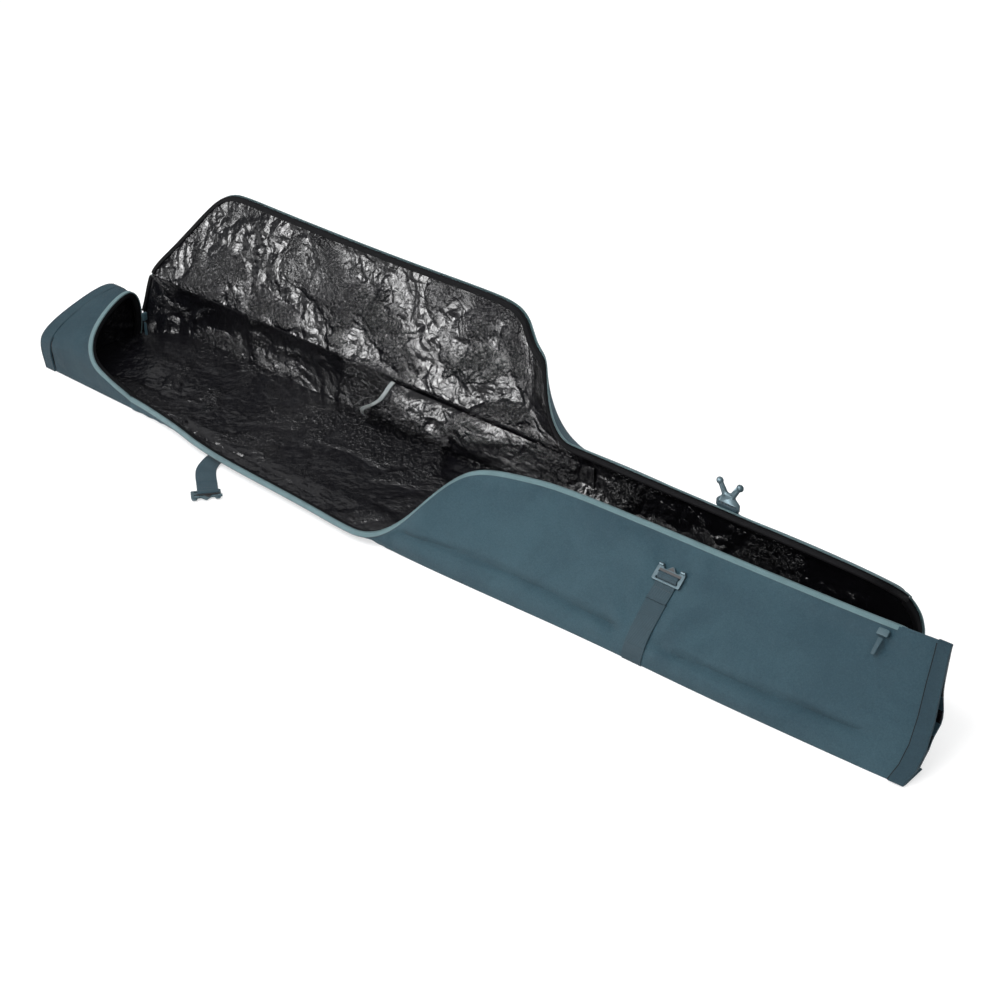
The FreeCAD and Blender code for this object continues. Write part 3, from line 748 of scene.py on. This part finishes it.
def tail_grid(inset):
    """From the ridge over the top and down the back, from the rim to the tip."""
    rows, columns = 40, 40
    x = np.linspace(PANEL_RIGHT, TAIL_TIP, rows)
    ridge = resampled(zip_line, x, zip_line[:, 0])
    grid = np.zeros((rows, columns, 3))
    for row, (place, top) in enumerate(zip(x, ridge)):
        mix = float(ramp(place, PANEL_RIGHT, TAIL_HEM_START))
        back = (1 - mix) * np.array(TAIL_OPEN_BACK) + mix * np.array(TAIL_SHUT_BACK)
        ring = rounded([top[1:], *back], columns)
        grid[row] = np.column_stack([slanted(place, ring[:, 1]), ring])
    outward = pointing(normals(grid), (4, columns // 2), 1)
    x, up = grid[:, :, 0], grid[:, :, 2]
    bulge = 0.022 * ramp(x, 0.9, 0.95) * hump(up, 0.082, 0.02)
    folds = 0.003 * (noise(x / 0.03, up / 0.04, 51) - 0.5)
    pinched = ramp(x, PANEL_RIGHT, 0.9) * (1.0 - ramp(np.linspace(0.0, 1.0, columns), 0.12, 0.34))
    under = inset * (1.0 - 0.65 * ramp(x, PANEL_RIGHT, 0.9)) * (1.0 - 0.8 * pinched)
    return grid + outward * (bulge + folds - under)[:, :, None], outward


def ridge_rod(name, rows, lift, radius, material, slot):
    """A rod that rounds off the tail's ridge over some of the zipper line's points."""
    line = zip_line[rows] + [0.0, 0.0, lift]
    line[:, 0] = slanted(line[:, 0], line[:, 2])
    finish_piece(rod(name, line, radius, material), slot)


tail, tail_out = tail_grid(0.0)
flip_tail = normals(tail)[4, 20, 1] < 0
skin("tail_back_outer", tail, FABRIC, OUTER, "outer_fabric", flip=flip_tail,
     replaces=("right_tail",), padded=0.4)
lining, _ = tail_grid(0.005)
skin("tail_back_liner", lining[:, 5:], LINING, LINER, "liner", flip=not flip_tail)
tail_rim = tail[0, 2:-2]
tail_across = unit(tail_rim - tail[2, 2:-2])
zip_set("tail", tail_rim, tail_across, squared(tail_out[0, 2:-2], tail_across))

# The hem at the tail: a band on the front layer and one on the back layer
hem_rows = zip_line[:, 0] >= TAIL_HEM_START - 0.001
hem_front_out = front_out[hem_rows][:, 10:]
band_front = front[hem_rows][:, 10:] + hem_front_out * HEM_LIFT
skin("tail_hem_front", band_front, HEM_LAYER, HEM, "hem", flip=True, replaces=("right_hem",))
ridge_rod("tail_hem_ridge", hem_rows, 0.0006, 0.0034, HEM, "hem")
top_rows = (zip_line[:, 0] >= PANEL_RIGHT - 0.008) & (zip_line[:, 0] <= TAIL_HEM_START + 0.008)
ridge_rod("tail_ridge", top_rows, -0.0004, 0.0026, OUTER, "outer_fabric")
hem_back_rows = np.linspace(PANEL_RIGHT, TAIL_TIP, len(tail)) >= TAIL_HEM_START - 0.001
band_back = tail[hem_back_rows] + tail_out[hem_back_rows] * HEM_LIFT
skin("tail_hem_back", band_back, HEM_LAYER, HEM, "hem", flip=flip_tail)

# The front band's two seams. The first lies on a near-black strip, painted shade along the seam line, and its
# stitches are as dark.
# Each is: its row of the band, its lift, its shift along the bag, its thread and the stitches' sizes
TAIL_SEAMS = (
    (0, -0.0012, -0.001, SEAM_SHADE_THREAD, {"pitch": 0.0027, "length": 0.0026, "width": 0.0024}),
    (-1, 0.0003, -0.0035, THREAD, {"pitch": 0.0045, "length": 0.0032, "width": 0.0009}),
)
for number, (where, lift, shift, thread, sizes) in enumerate(TAIL_SEAMS):
    seam_out = hem_front_out[where, :-2]
    seam_line = band_front[where, :-2] + seam_out * lift + [shift, 0.0, 0.0]
    if where == 0:
        # The dark strip under the first seam is painted shade.
        seam_shade_strip = ribbon("tail_hem_seam_shade", seam_line, repeated(ALONG_X, len(seam_line)), seam_out,
                        box_profile(-0.0021, 0.0021, -0.001, 0.001), SEAM_SHADE_THREAD)
        finish_piece(seam_shade_strip, "hem")
    finish_piece(stitches(f"tail_hem_thread_{number}", seam_line, seam_out, thread, **sizes), "hem")


# Bottom and back wall

def floor_grid(x, count, near_table, far_table):
    """A grid on the floor between a front and a back edge."""
    near, far = read(near_table, x)[:, None], read(far_table, x)[:, None]
    y = near + (far - near) * np.linspace(0.0, 1.0, count)
    return np.stack([np.repeat(x[:, None], count, axis=1), y, np.zeros_like(y)], axis=2)


bottom = floor_grid(np.linspace(HOOD_TIP + 0.01, TAIL_TIP - 0.01, 260), 40, BOTTOM_FRONT, BOTTOM_BACK)
bottom[:, :, 2] = LOWEST
skin("bottom_outer", bottom, 0.0006, OUTER, "outer_fabric", flip=True,
     replaces=("bottom_shell", "bottom_foam"), padded=0.3)
floor_liner = floor_grid(np.linspace(-LINING_END, LINING_END, 420), 70, LINING_FRONT, LINING_BACK)
floor_liner[:, :, 2] = 0.0095 + 0.0032 * creases(floor_liner[:, :, 0] * 0.8, floor_liner[:, :, 1], 0.05, 61)
skin("bottom_liner_skin", floor_liner, LINING, LINER, "liner", replaces=("bottom_liner",))


def wall_ends(x, share):
    """The wall's upper corners are cut round: how far x moves in at each height."""
    right = 0.02 * ramp(x, WALL_RIGHT - 0.07, WALL_RIGHT)
    left = 0.012 * (1.0 - ramp(x, WALL_LEFT, WALL_LEFT + 0.06))
    return np.outer(left - right, share ** 4)


def wall_grid(inset, count_x, count_y, wrinkles, slack=0.0, rise=0.0):
    """The back wall, from its foot to the hinge line. A slack lining hangs away from its foot."""
    x = np.linspace(WALL_LEFT, WALL_RIGHT, count_x)
    share = np.linspace(0.0, 1.0, count_y)
    foot = read(WALL_FOOT, x)
    grid = np.zeros((count_x, count_y, 3))
    grid[:, :, 0] = x[:, None] + wall_ends(x, share)
    swell = 0.01 * np.sin(np.pi * share)
    grid[:, :, 1] = foot[:, None] + np.outer(HINGE_BACK - foot, share) + swell[None] - inset
    hang = (ramp(x, 0.02, 0.22) * (1.0 - ramp(x, 0.7, 0.79)))[:, None]
    grid[:, :, 1] -= slack * hang * (1.0 - share) ** 1.2
    grid[:, :, 2] = FLOOR_GAP + (HINGE_UP + rise - FLOOR_GAP) * share
    folds = creases(grid[:, :, 0], grid[:, :, 2] * 1.2, 0.06, 81)
    if slack:
        folds = folds + 1.6 * hang * creases(grid[:, :, 0] * 0.7, grid[:, :, 2], 0.1, 85)
    grid[:, :, 1] += wrinkles * folds * np.sin(np.pi * share) ** 0.5
    return grid


wall = wall_grid(0.0, 260, 30, 0.0012)
skin("back_wall_outer", wall, FABRIC, OUTER, "outer_fabric",
     replaces=("back_wall_shell", "back_wall_foam", "hinge_seam"), padded=0.4)
wall_inner = wall_grid(PADDING, 420, 44, 0.0046, slack=0.062, rise=0.0055)
skin("back_wall_inner", wall_inner, LINING, LINER, "liner", flip=True, replaces=("back_wall_liner",))


# Lid: one sheet over its wide part, the twist and the narrow strip

lid_line = even(rounded(LID_DEPTH, 1200, 2), 0.006)


def lid_angle(x):
    """How far the lid is open at x, in radians."""
    turn = ramp(x, TWIST_START, TWIST_END)
    sway = 2.0 * np.sin(x * 6.0 + 0.6) * (1.0 - turn)
    return np.radians(LID_OPEN + (STRIP_OPEN - LID_OPEN) * turn + sway)


def lid_points(x, depth, lift):
    """Points of the lid: depth from the hinge line, lift to the outside."""
    angle = lid_angle(x)
    x = x + LID_RIGHT_SHEAR * ramp(x, 0.55, 0.8) * depth
    back = HINGE_BACK - depth * np.cos(angle) + lift * np.sin(angle)
    up = HINGE_UP + depth * np.sin(angle) + lift * np.cos(angle)
    return np.stack([x, back, up], axis=-1)


LID_LIFT = 0.0022
LID_BLEND = ("lid_wide", "lid_strip", (TWIST_START, 0, 0), (TWIST_END, 0, 0))
lid_share = np.linspace(0.0, 1.0, 46)
lid_x = np.repeat(lid_line[:, :1], len(lid_share), axis=1)
lid_edge = lid_line[:, 1:2]
lid_v = lid_edge * lid_share
rim_gap = lid_edge - lid_v
crown = 0.002 * smooth(rim_gap / 0.05) * smooth(lid_v / 0.03)
lid_waves = 0.003 * (noise(lid_x / 0.16, lid_v / 0.09, 91) - 0.5) * smooth(rim_gap / 0.03)
arch = STRIP_ARCH * ramp(lid_x, TWIST_START, TWIST_END) * smooth(lid_edge / 0.08)
lid_waves = lid_waves + arch * 4.0 * lid_share * (1.0 - lid_share)
lid_outer = lid_points(lid_x, lid_v, LID_LIFT + crown + lid_waves)
settle = smooth(rim_gap / 0.018) * smooth((lid_v + 0.01) / 0.03)
lid_folds = 0.0054 * creases(lid_x * 0.9, lid_v, 0.07, 101) + 0.0024 * creases(lid_x, lid_v, 0.024, 111)
lid_inner = lid_points(lid_x, lid_v, -0.0042 + lid_waves + settle * (lid_folds - 0.0015))
skin("lid_outer", lid_outer, FABRIC, OUTER, "outer_fabric", blend=LID_BLEND, padded=0.4,
     replaces=("lid_shell", "lid_foam", "strip_shell", "strip_foam", "lid_twist"))
skin("lid_inner", lid_inner, LINING, LINER, "liner", flip=True, blend=LID_BLEND,
     replaces=("lid_liner", "strip_liner"))
lid_centre = lid_points(*lid_line.T, LID_LIFT)
lid_run = unit(np.gradient(lid_centre, axis=0))
lid_facing = unit(lid_points(*lid_line.T, 0.01) - lid_centre)
lid_across = pointing(unit(np.cross(lid_facing, lid_run)), len(lid_run) // 2, 2)
zip_set("lid_edge", lid_centre[1:-1], lid_across[1:-1], lid_facing[1:-1], blend=LID_BLEND, reach=LID_REACH,
        replaces=(("lid_tape", "strip_tape"), ("lid_coil", "strip_coil"), ("lid_binding", "strip_binding")))

# The wall's ends carry the zipper on, down from the lid's two corners
for side, column, low, past in (("left", 0, 10, -1.0), ("right", -1, 6, 1.0)):
    end_centre = wall[column, low:]
    end_run = unit(np.gradient(end_centre, axis=0))
    end_across = squared(repeated((past, 0.0, 0.0), len(end_centre)), end_run)
    end_facing = pointing(unit(np.cross(end_run, end_across)), -1, 1)
    zip_set(f"wall_{side}", end_centre, end_across, end_facing, reach=LID_REACH)


# Straps, buckles and hooks. A local place is x, then the distance along a board, then off it.

def placed(where, x, along_board, off):
    """Points on a board that is turned about X: its start (back, up) and its turn in degrees."""
    back, up, degrees = where
    turn = math.radians(degrees)
    x, along_board, off = np.broadcast_arrays(np.asarray(x, float), along_board, off)
    place_y = back + along_board * math.cos(turn) - off * math.sin(turn)
    place_z = up + along_board * math.sin(turn) + off * math.cos(turn)
    return np.stack([x, place_y, place_z], axis=-1)


def board_axes(degrees):
    """The along and off directions of a board turned about X."""
    turned = (0.0, 0.0, degrees)
    return placed(turned, 0.0, 1.0, 0.0), placed(turned, 0.0, 0.0, 1.0)


def band(name, line, across):
    """A flat webbing along a line, with its width along the across vectors."""
    fine = even(rounded(line, len(line) * 12, 2), 0.002)
    ahead = unit(np.gradient(fine, axis=0))
    side = squared(resampled(across, np.linspace(0, len(across) - 1, len(fine))), ahead)
    profile = box_profile(-WEB_WIDTH / 2, WEB_WIDTH / 2, -FABRIC / 2, FABRIC / 2)
    return ribbon(name, fine, side, np.cross(ahead, side), profile, WEBBING)


def welded(thing):
    """Merge points that lie on top of each other."""
    shape = bmesh.new()
    shape.from_mesh(thing.data)
    bmesh.ops.remove_doubles(shape, verts=shape.verts, dist=1e-6)
    bmesh.ops.dissolve_degenerate(shape, edges=shape.edges, dist=1e-7)
    bmesh.ops.recalc_face_normals(shape, faces=shape.faces)
    shape.to_mesh(thing.data)
    shape.free()
    return thing


def knob(name, centre, radius, flat, facing):
    """A rounded button, flattened along its facing direction."""
    side = unit(np.cross(facing, ALONG_X))
    cross = np.cross(side, facing)
    rings, steps = 9, 20
    points, faces = [], []
    for ring in range(rings + 1):
        tilt = math.pi * ring / rings
        for step in range(steps):
            turn = 2.0 * math.pi * step / steps
            outwards = side * math.cos(turn) + cross * math.sin(turn)
            points.append(centre + radius * (outwards * math.sin(tilt) + facing * math.cos(tilt) * flat))
    for ring in range(rings):
        for step in range(steps):
            here, after = ring * steps + step, ring * steps + (step + 1) % steps
            faces.append([here, here + steps, after + steps, after])
    return welded(make_object(name, points, faces, np.zeros((len(points), 2)), HARDWARE, 60.0))


def slab(name, outline, drop, material):
    """A thin plate: an outline, the same outline moved by the drop, and sides between them."""
    count = len(outline)
    points = [*outline, *(point + drop for point in outline)]
    faces = [list(range(count)), list(range(2 * count - 1, count - 1, -1))]
    for corner in range(count):
        after = (corner + 1) % count
        faces.append([corner, corner + count, after + count, after])
    return welded(make_object(name, points, faces, np.zeros((2 * count, 2)), material))


def moulded(name, node, facing, material, corner=0.0022, edge=0.0009, lift=0.0):
    """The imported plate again, with its corners and its edges rounded."""
    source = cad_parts[node]
    mesh = source.data.copy()
    mesh.name = name
    shape = bmesh.new()
    shape.from_mesh(mesh)
    shape.transform(source.matrix_world)
    bmesh.ops.remove_doubles(shape, verts=shape.verts, dist=1e-6)
    bmesh.ops.dissolve_limit(shape, angle_limit=math.radians(1.0), verts=shape.verts, edges=shape.edges)
    upright = [e for e in shape.edges
               if abs(np.dot(unit(np.array(e.verts[0].co - e.verts[1].co)), facing)) > 0.95]
    rounding = {"profile": 0.5, "affect": "EDGES", "clamp_overlap": True}
    bmesh.ops.bevel(shape, geom=upright, offset=corner, segments=4, **rounding)
    rim = [e for e in shape.edges
           if len(e.link_faces) == 2 and e.calc_face_angle(0.0) > math.radians(60.0)]
    bmesh.ops.bevel(shape, geom=rim, offset=edge, segments=3, **rounding)
    for vertex in shape.verts:
        vertex.co = vertex.co + Vector(facing * lift)
    shape.to_mesh(mesh)
    shape.free()
    return shown(name, mesh, material, 35.0)


# A doubled end of webbing: from the strap under the buckle's bar, over it and back: (along, off)
BUCKLE_LOOP = (
    (-0.012, 0.0011), (0.002, 0.0011), (0.012, 0.0018), (0.016, 0.004), (0.0158, 0.0074), (0.013, 0.009),
    (0.0085, 0.009), (0.0056, 0.0072), (0.0048, 0.0042), (0.001, 0.0032), (-0.009, 0.003),
    (-0.024, 0.0032), (-0.03, 0.0048),
)
BUCKLE_LIFT = 0.0033
# Outlines on the buckle's face: (sideways, ahead). The recess is a flat dark slab, painted shade in the slot.
TONGUE = ((-0.0066, 0.0218), (0.0066, 0.0218), (0.0, 0.0284))
RECESS_SHADE = ((-0.0205, 0.0162), (0.0205, 0.0162), (0.0205, 0.0202), (-0.0205, 0.0202))


def buckle(side, start, run_direction, across, facing):
    """A frame buckle with its middle bar, dark tongue and curled catches, and its webbing loop."""
    node, strap_body = f"front_buckle_{side}", f"front_strap_{side}"

    def at(sideways, ahead, off):
        return start + across * sideways + run_direction * ahead + facing * off

    plate = moulded(f"buckle_{side}_frame", node, facing, HARDWARE, lift=BUCKLE_LIFT)
    finish_piece(plate, "hardware", body=node, replaces=(node,))
    top = BUCKLE_LIFT + 0.004
    # The tongue is a dark part; the recess slab is painted shade in the slot.
    for label, outline in (("tongue", TONGUE), ("recess_shade", RECESS_SHADE)):
        corners = [at(a, b, top) for a, b in outline]
        plate = slab(f"buckle_{side}_{label}", corners, facing * -0.0012, DARK_METAL_AND_SHADE)
        finish_piece(plate, "hardware", body=node)
    for label, sign in (("a", -1), ("b", 1)):
        ends = [at(sign * 0.0165, 0.0262, top), at(sign * 0.0242, 0.0262, top)]
        catch = rod(f"buckle_{side}_catch_{label}", ends, 0.0026, HARDWARE, start=facing)
        finish_piece(catch, "hardware", body=node)
    loop = [at(0.0, a, f - 0.0003) for a, f in BUCKLE_LOOP]
    finish_piece(band(f"strap_{side}_loop", loop, repeated(across, 2)), "webbing",
                 blend=(strap_body, node, tuple(at(0, -0.006, 0)), tuple(at(0, 0.002, 0))))
    for number, ahead in enumerate((-0.009, -0.026)):
        line = np.array([at(-0.015, ahead, 0.0035), at(0.015, ahead, 0.0035)])
        row = stitches(f"strap_{side}_thread_{number}", line, repeated(facing, 2), THREAD)
        finish_piece(row, "webbing", body=strap_body)


# Front right: the base follows the front, the free end lies on the slope

across_x = np.array(ALONG_X)
base_x = np.linspace(STRAP_AT - WEB_WIDTH / 2, STRAP_AT + WEB_WIDTH / 2, 9)
lifted = front + front_out * HEM_LIFT
base = np.stack([resampled(lifted[:, column], base_x, zip_line[:, 0]) for column in range(9, 34)], axis=1)
skin("strap_base_right", base, WEB_LAYER, WEBBING, "webbing", flip=True, replaces=("front_base_right",))
right_line = [placed(SLOPE, STRAP_AT, a, o) for a, o in (
    (-0.02, -0.005), (-0.01, -0.0022), (0.004, 0.0008), (0.03, 0.0012), (0.071, 0.001), (0.081, 0.001))]
finish_piece(band("strap_right", right_line, repeated(ALONG_X, 2)), "webbing", body="front_strap_right",
             replaces=("front_strap_right",))
slope_along, slope_off = board_axes(SLOPE[2])
buckle("right", placed(SLOPE, STRAP_AT, 0.083, 0.0), slope_along, across_x, slope_off)

# Front left: one webbing from under the flap, which turns towards the tail

left_turn = math.radians(LEFT_TURN)
left_along = np.array([math.sin(left_turn), -math.cos(left_turn), 0.0])
left_across = np.array([math.cos(left_turn), math.sin(left_turn), 0.0])
left_hinge = np.array([-0.412, -0.212, 0.0])
left_line = [
    (-0.443, -0.14, 0.004), (-0.443, -0.158, 0.006), (-0.441, -0.174, 0.0036), (-0.432, -0.194, 0.0016),
    (-0.414, -0.211, 0.0013),
    *(left_hinge + left_along * ahead + [0, 0, 0.0013] for ahead in (0.02, 0.04, 0.05)),
]
left_sides = np.array([(1, 0, 0), (1, 0.02, 0), (0.98, 0.15, 0), (0.85, 0.45, 0), (0.65, 0.72, 0),
                       left_across, left_across, left_across])
left_blend = [tuple(left_hinge + left_along * ahead) for ahead in (-0.005, 0.005)]
finish_piece(band("strap_left", left_line, left_sides), "webbing",
             replaces=("front_base_left", "front_strap_left"),
             blend=("front_flap", "front_strap_left", *left_blend))
buckle("left", left_hinge + left_along * 0.052 + [0, 0, 0.0002], left_along, left_across, np.array(UPWARD))


def hook(side, start, run_direction, facing, line, inner):
    """A hook plate with two horns that end in knobs, and its strap. Inner is where its seam lies."""
    node, strap_body = f"rear_hook_{side}", f"rear_strap_{side}"

    def at(sideways, ahead, off):
        return start + np.array([sideways, 0.0, 0.0]) + run_direction * ahead + facing * off

    plate = moulded(f"hook_{side}_plate", node, facing, HARDWARE, corner=0.003)
    finish_piece(plate, "hardware", body=node, replaces=(node,))
    for label, sign in (("a", -1), ("b", 1)):
        path = [at(sign * 0.008, 0.021, 0.0016), at(sign * 0.0125, 0.03, 0.0018),
                at(sign * 0.018, 0.0405, 0.0022)]
        horn = rod(f"hook_{side}_horn_{label}", path, 0.0034, HARDWARE, start=facing, flat=0.8)
        finish_piece(horn, "hardware", body=node)
        tip = knob(f"hook_{side}_knob_{label}", at(sign * 0.0185, 0.042, 0.0026), 0.0062, 0.72, facing)
        finish_piece(tip, "hardware", body=node)
    finish_piece(band(f"rear_strap_{side}_web", line, repeated(ALONG_X, 2)), "webbing", body=strap_body,
                 replaces=(strap_body,))
    seam = np.array([at(-0.0135, *inner), at(0.0135, *inner)])
    row = stitches(f"hook_{side}_thread", seam, repeated(facing, 2), THREAD, 0.005, 0.003, 0.0022)
    finish_piece(row, "webbing", body=node)


# Rear right: over the strip, then curled up. Rear left: out on the floor.

curl_along, curl_off = board_axes(STRIP[2] - CURL)
curl_up = -curl_along
curl_start = placed(STRIP, REAR_AT, -0.129, 0.0053) + curl_up * 0.001
hook_line = [placed(STRIP, REAR_AT, a, o) for a, o in (
    (-0.006, 0.0064), (-0.04, 0.0062), (-0.09, 0.006), (-0.112, 0.0058), (-0.122, 0.006))]
hook_line += [curl_start + curl_up * a + curl_off * o for a, o in (
    (-0.004, -0.0006), (0.003, -0.0012), (0.0062, 0.0004), (0.0064, 0.0036), (0.002, 0.005), (-0.01, 0.0042))]
hook("right", curl_start, curl_up, curl_off, hook_line, (0.0065, -0.0004))
floor_line = [placed(FLAT, -STRAP_AT, a, o) for a, o in (
    (0.1385, 0.0024), (0.15, 0.0013), (0.25, 0.0014), (0.355, 0.0014), (0.368, 0.004), (0.378, 0.005),
    (0.3825, 0.0042), (0.3828, 0.0012))]
hook("left", placed(FLAT, -STRAP_AT, 0.376, 0.0003), *board_axes(0.0), floor_line, (0.01, 0.0036))


# Webbing sewn to the outside of the back wall, and the carry handle

wall_x = np.linspace(WALL_LEFT, WALL_RIGHT, len(wall))
wall_out = pointing(normals(wall), (len(wall) // 2, wall.shape[1] // 2), 1)


def on_wall(centre, low, high, lift):
    """A strip of webbing's width that follows the wall between two shares of its height."""
    x = np.linspace(centre - WEB_WIDTH / 2, centre + WEB_WIDTH / 2, 7)
    raised = wall + wall_out * lift
    columns = np.linspace(low, high, 20) * (wall.shape[1] - 1)
    lines = np.stack([resampled(raised[:, c], x, wall_x) for c in range(wall.shape[1])], axis=1)
    return np.stack([resampled(row, columns) for row in lines])


for name, *patch, replaced in (
    ("rear_base_right", REAR_AT, 0.02, 1.0, 0.002, ("rear_strap_bases",)),
    ("rear_base_left", -STRAP_AT, 0.02, 0.32, 0.002, ()),
    ("handle_anchor_left", -HANDLE_AT, 0.6, 0.86, 0.0022, ("handle_anchors",)),
    ("handle_anchor_right", HANDLE_AT, 0.6, 0.86, 0.0022, ()),
):
    skin(name, on_wall(*patch), WEB_LAYER, WEBBING, "webbing", replaces=replaced)
grip = [placed(WALL_BOARD, x, a, -0.0115) for x, a in (
    (-0.11, 0.064), (-0.11, 0.046), (-0.098, 0.033), (-0.05, 0.03), (0.05, 0.03), (0.098, 0.033),
    (0.11, 0.046), (0.11, 0.064))]
handle = rod("carry_handle_grip", rounded(grip, 80, 3), 0.0065, WEBBING, start=(0.0, 1.0, 0.0), flat=0.6)
finish_piece(handle, "webbing", body="carry_handle", replaces=("carry_handle",))


# Pole sleeve: a loose cover on the back wall with an elastic round its slanted mouth

def sleeve_grid():
    """The cover from its mouth to its far end, and from its foot to its head."""
    share = np.linspace(0.0, 1.0, 44)[None, :]
    run = np.linspace(0.0, 1.0, 150)[:, None]
    mouth = read_rounded(MOUTH, share)
    x = mouth + (SLEEVE_END - mouth) * run
    height = SLEEVE_FOOT + (SLEEVE_HEAD - SLEEVE_FOOT) * share
    full = 0.022 * (1.0 - ramp(x, -0.25, 0.18)) + 0.004
    folds = 0.35 * creases(x, height, 0.045, 141) * full
    return placed(WALL_BOARD, x, height, 0.0085 + (full + folds) * np.sin(np.pi * share) ** 0.6)


cover = sleeve_grid()
skin("pole_sleeve_cover", cover, LINING, LINER, "liner", replaces=("pole_sleeve",))
mouth_out = -pointing(unit(np.cross(np.gradient(cover[0], axis=0), ALONG_X)), 20, 1)
elastic = ribbon("sleeve_elastic_band", cover[0], repeated(ALONG_X, len(cover[0])), mouth_out,
                 box_profile(-0.0045, 0.0045, 0.0002, 0.002), ELASTIC)
finish_piece(elastic, "elastic", replaces=("sleeve_elastic",))

# Sliders and pulls

for side, facing in (("right", slope_off), ("left", across_x)):
    slider, pull = f"slider_{side}", f"pull_{side}"
    body = moulded(f"{slider}_body", slider, facing, SLIDER, corner=0.0012, edge=0.0008)
    finish_piece(body, "slider_metal", body=slider, replaces=(slider,))
    tab = moulded(f"{pull}_tab", pull, facing, RUBBER, corner=0.0012, edge=0.0006)
    finish_piece(tab, "pull_cord", body=pull, replaces=(pull,))


# Floor, light and camera

def floor():
    """A plain pale floor that glows a little, so that shadows on it stay faint."""
    mesh = bpy.data.meshes.new("floor")
    mesh.from_pydata([(-9.0, -1.6, 0), (2.6, -1.6, 0), (2.6, 9.0, 0), (-9.0, 9.0, 0)], [], [(0, 1, 2, 3)])
    made = Shader("floor_paint", 0.9, specular=0.0)
    made.colour(made.noise(3.0), (0.3, (0.5, 0.5, 0.5)), (0.7, (0.54, 0.54, 0.54)))
    made.shader.inputs["Emission Color"].default_value = (1.0, 1.0, 1.0, 1.0)
    made.shader.inputs["Emission Strength"].default_value = 0.55
    mesh.materials.append(made.material)
    thing = bpy.data.objects.new("floor", mesh)
    bpy.context.scene.collection.objects.link(thing)


def studio():
    """A soft sky: bright overhead, dim towards the horizon, so that gloss keeps its contrast."""
    world = bpy.data.worlds.new("studio")
    world.use_nodes = True
    tree = world.node_tree
    place = tree.nodes.new("ShaderNodeTexCoord")
    apart = tree.nodes.new("ShaderNodeSeparateXYZ")
    shade = tree.nodes.new("ShaderNodeValToRGB")
    stops = shade.color_ramp.elements
    stops[0].position, stops[0].color = 0.05, (0.16, 0.17, 0.18, 1.0)
    stops[1].position, stops[1].color = 0.75, (1.0, 1.0, 1.0, 1.0)
    tree.links.new(place.outputs["Generated"], apart.inputs["Vector"])
    tree.links.new(apart.outputs["Z"], shade.inputs["Fac"])
    tree.links.new(shade.outputs["Color"], tree.nodes["Background"].inputs["Color"])
    tree.nodes["Background"].inputs["Strength"].default_value = 1.0
    bpy.context.scene.world = world


def set_up(name, data, place, back):
    """Put a lamp or a camera at a place, with its back turned along a direction and no roll."""
    thing = bpy.data.objects.new(name, data)
    bpy.context.scene.collection.objects.link(thing)
    back = unit(np.array(back, float))
    right = unit(np.cross(UPWARD, back))
    rotation = Matrix((right, np.cross(back, right), back)).transposed().to_4x4()
    thing.matrix_world = Matrix.Translation(place) @ rotation
    return thing


def lamp(name, place, aim, size, power, gloss_only):
    """A soft square light at a place, turned to its aim. It can be kept to reflections."""
    light = bpy.data.lights.new(name, "AREA")
    light.size = size
    light.energy = power
    set_up(name, light, place, np.subtract(place, aim)).visible_diffuse = not gloss_only


def camera():
    """The camera: its lens, and where it stands, with its direction from the bag in degrees."""
    data = bpy.data.cameras.new("camera")
    data.sensor_width = 36.0
    data.lens = 72.65
    data.clip_end = 100.0
    azimuth, elevation = math.radians(-48.6121), math.radians(31.1005)
    level = math.cos(elevation)
    back = (level * math.cos(azimuth), level * math.sin(azimuth), math.sin(elevation))
    bpy.context.scene.camera = set_up("camera", data, (1.9719, -2.1471, 1.7891), back)


# Name, place, aim, size, power, and whether the lamp shows in gloss only
LAMPS = (
    ("key", (-0.4, -1.6, 2.7), (0.1, 0.0, 0.1), 1.9, 54.0, False),
    ("back", (-0.6, 2.4, 1.9), (0.0, 0.0, 0.1), 1.0, 20.0, False),
    ("low", (-1.9, -2.5, 0.7), (-0.3, 0.1, 0.2), 1.5, 132.0, True),
    ("gap", (-1.6, -2.6, 1.35), (0.4, 0.1, 0.1), 1.2, 170.0, True),
    ("fill", (0.7, -2.7, 1.75), (0.4, 0.1, 0.1), 1.0, 26.0, False),
    ("low_right", (0.2, -3.2, 0.9), (0.5, 0.1, 0.1), 0.8, 130.0, True),
)
floor()
studio()
for settings in LAMPS:
    lamp(*settings)
bpy.context.scene.view_settings.view_transform = "Standard"
camera()
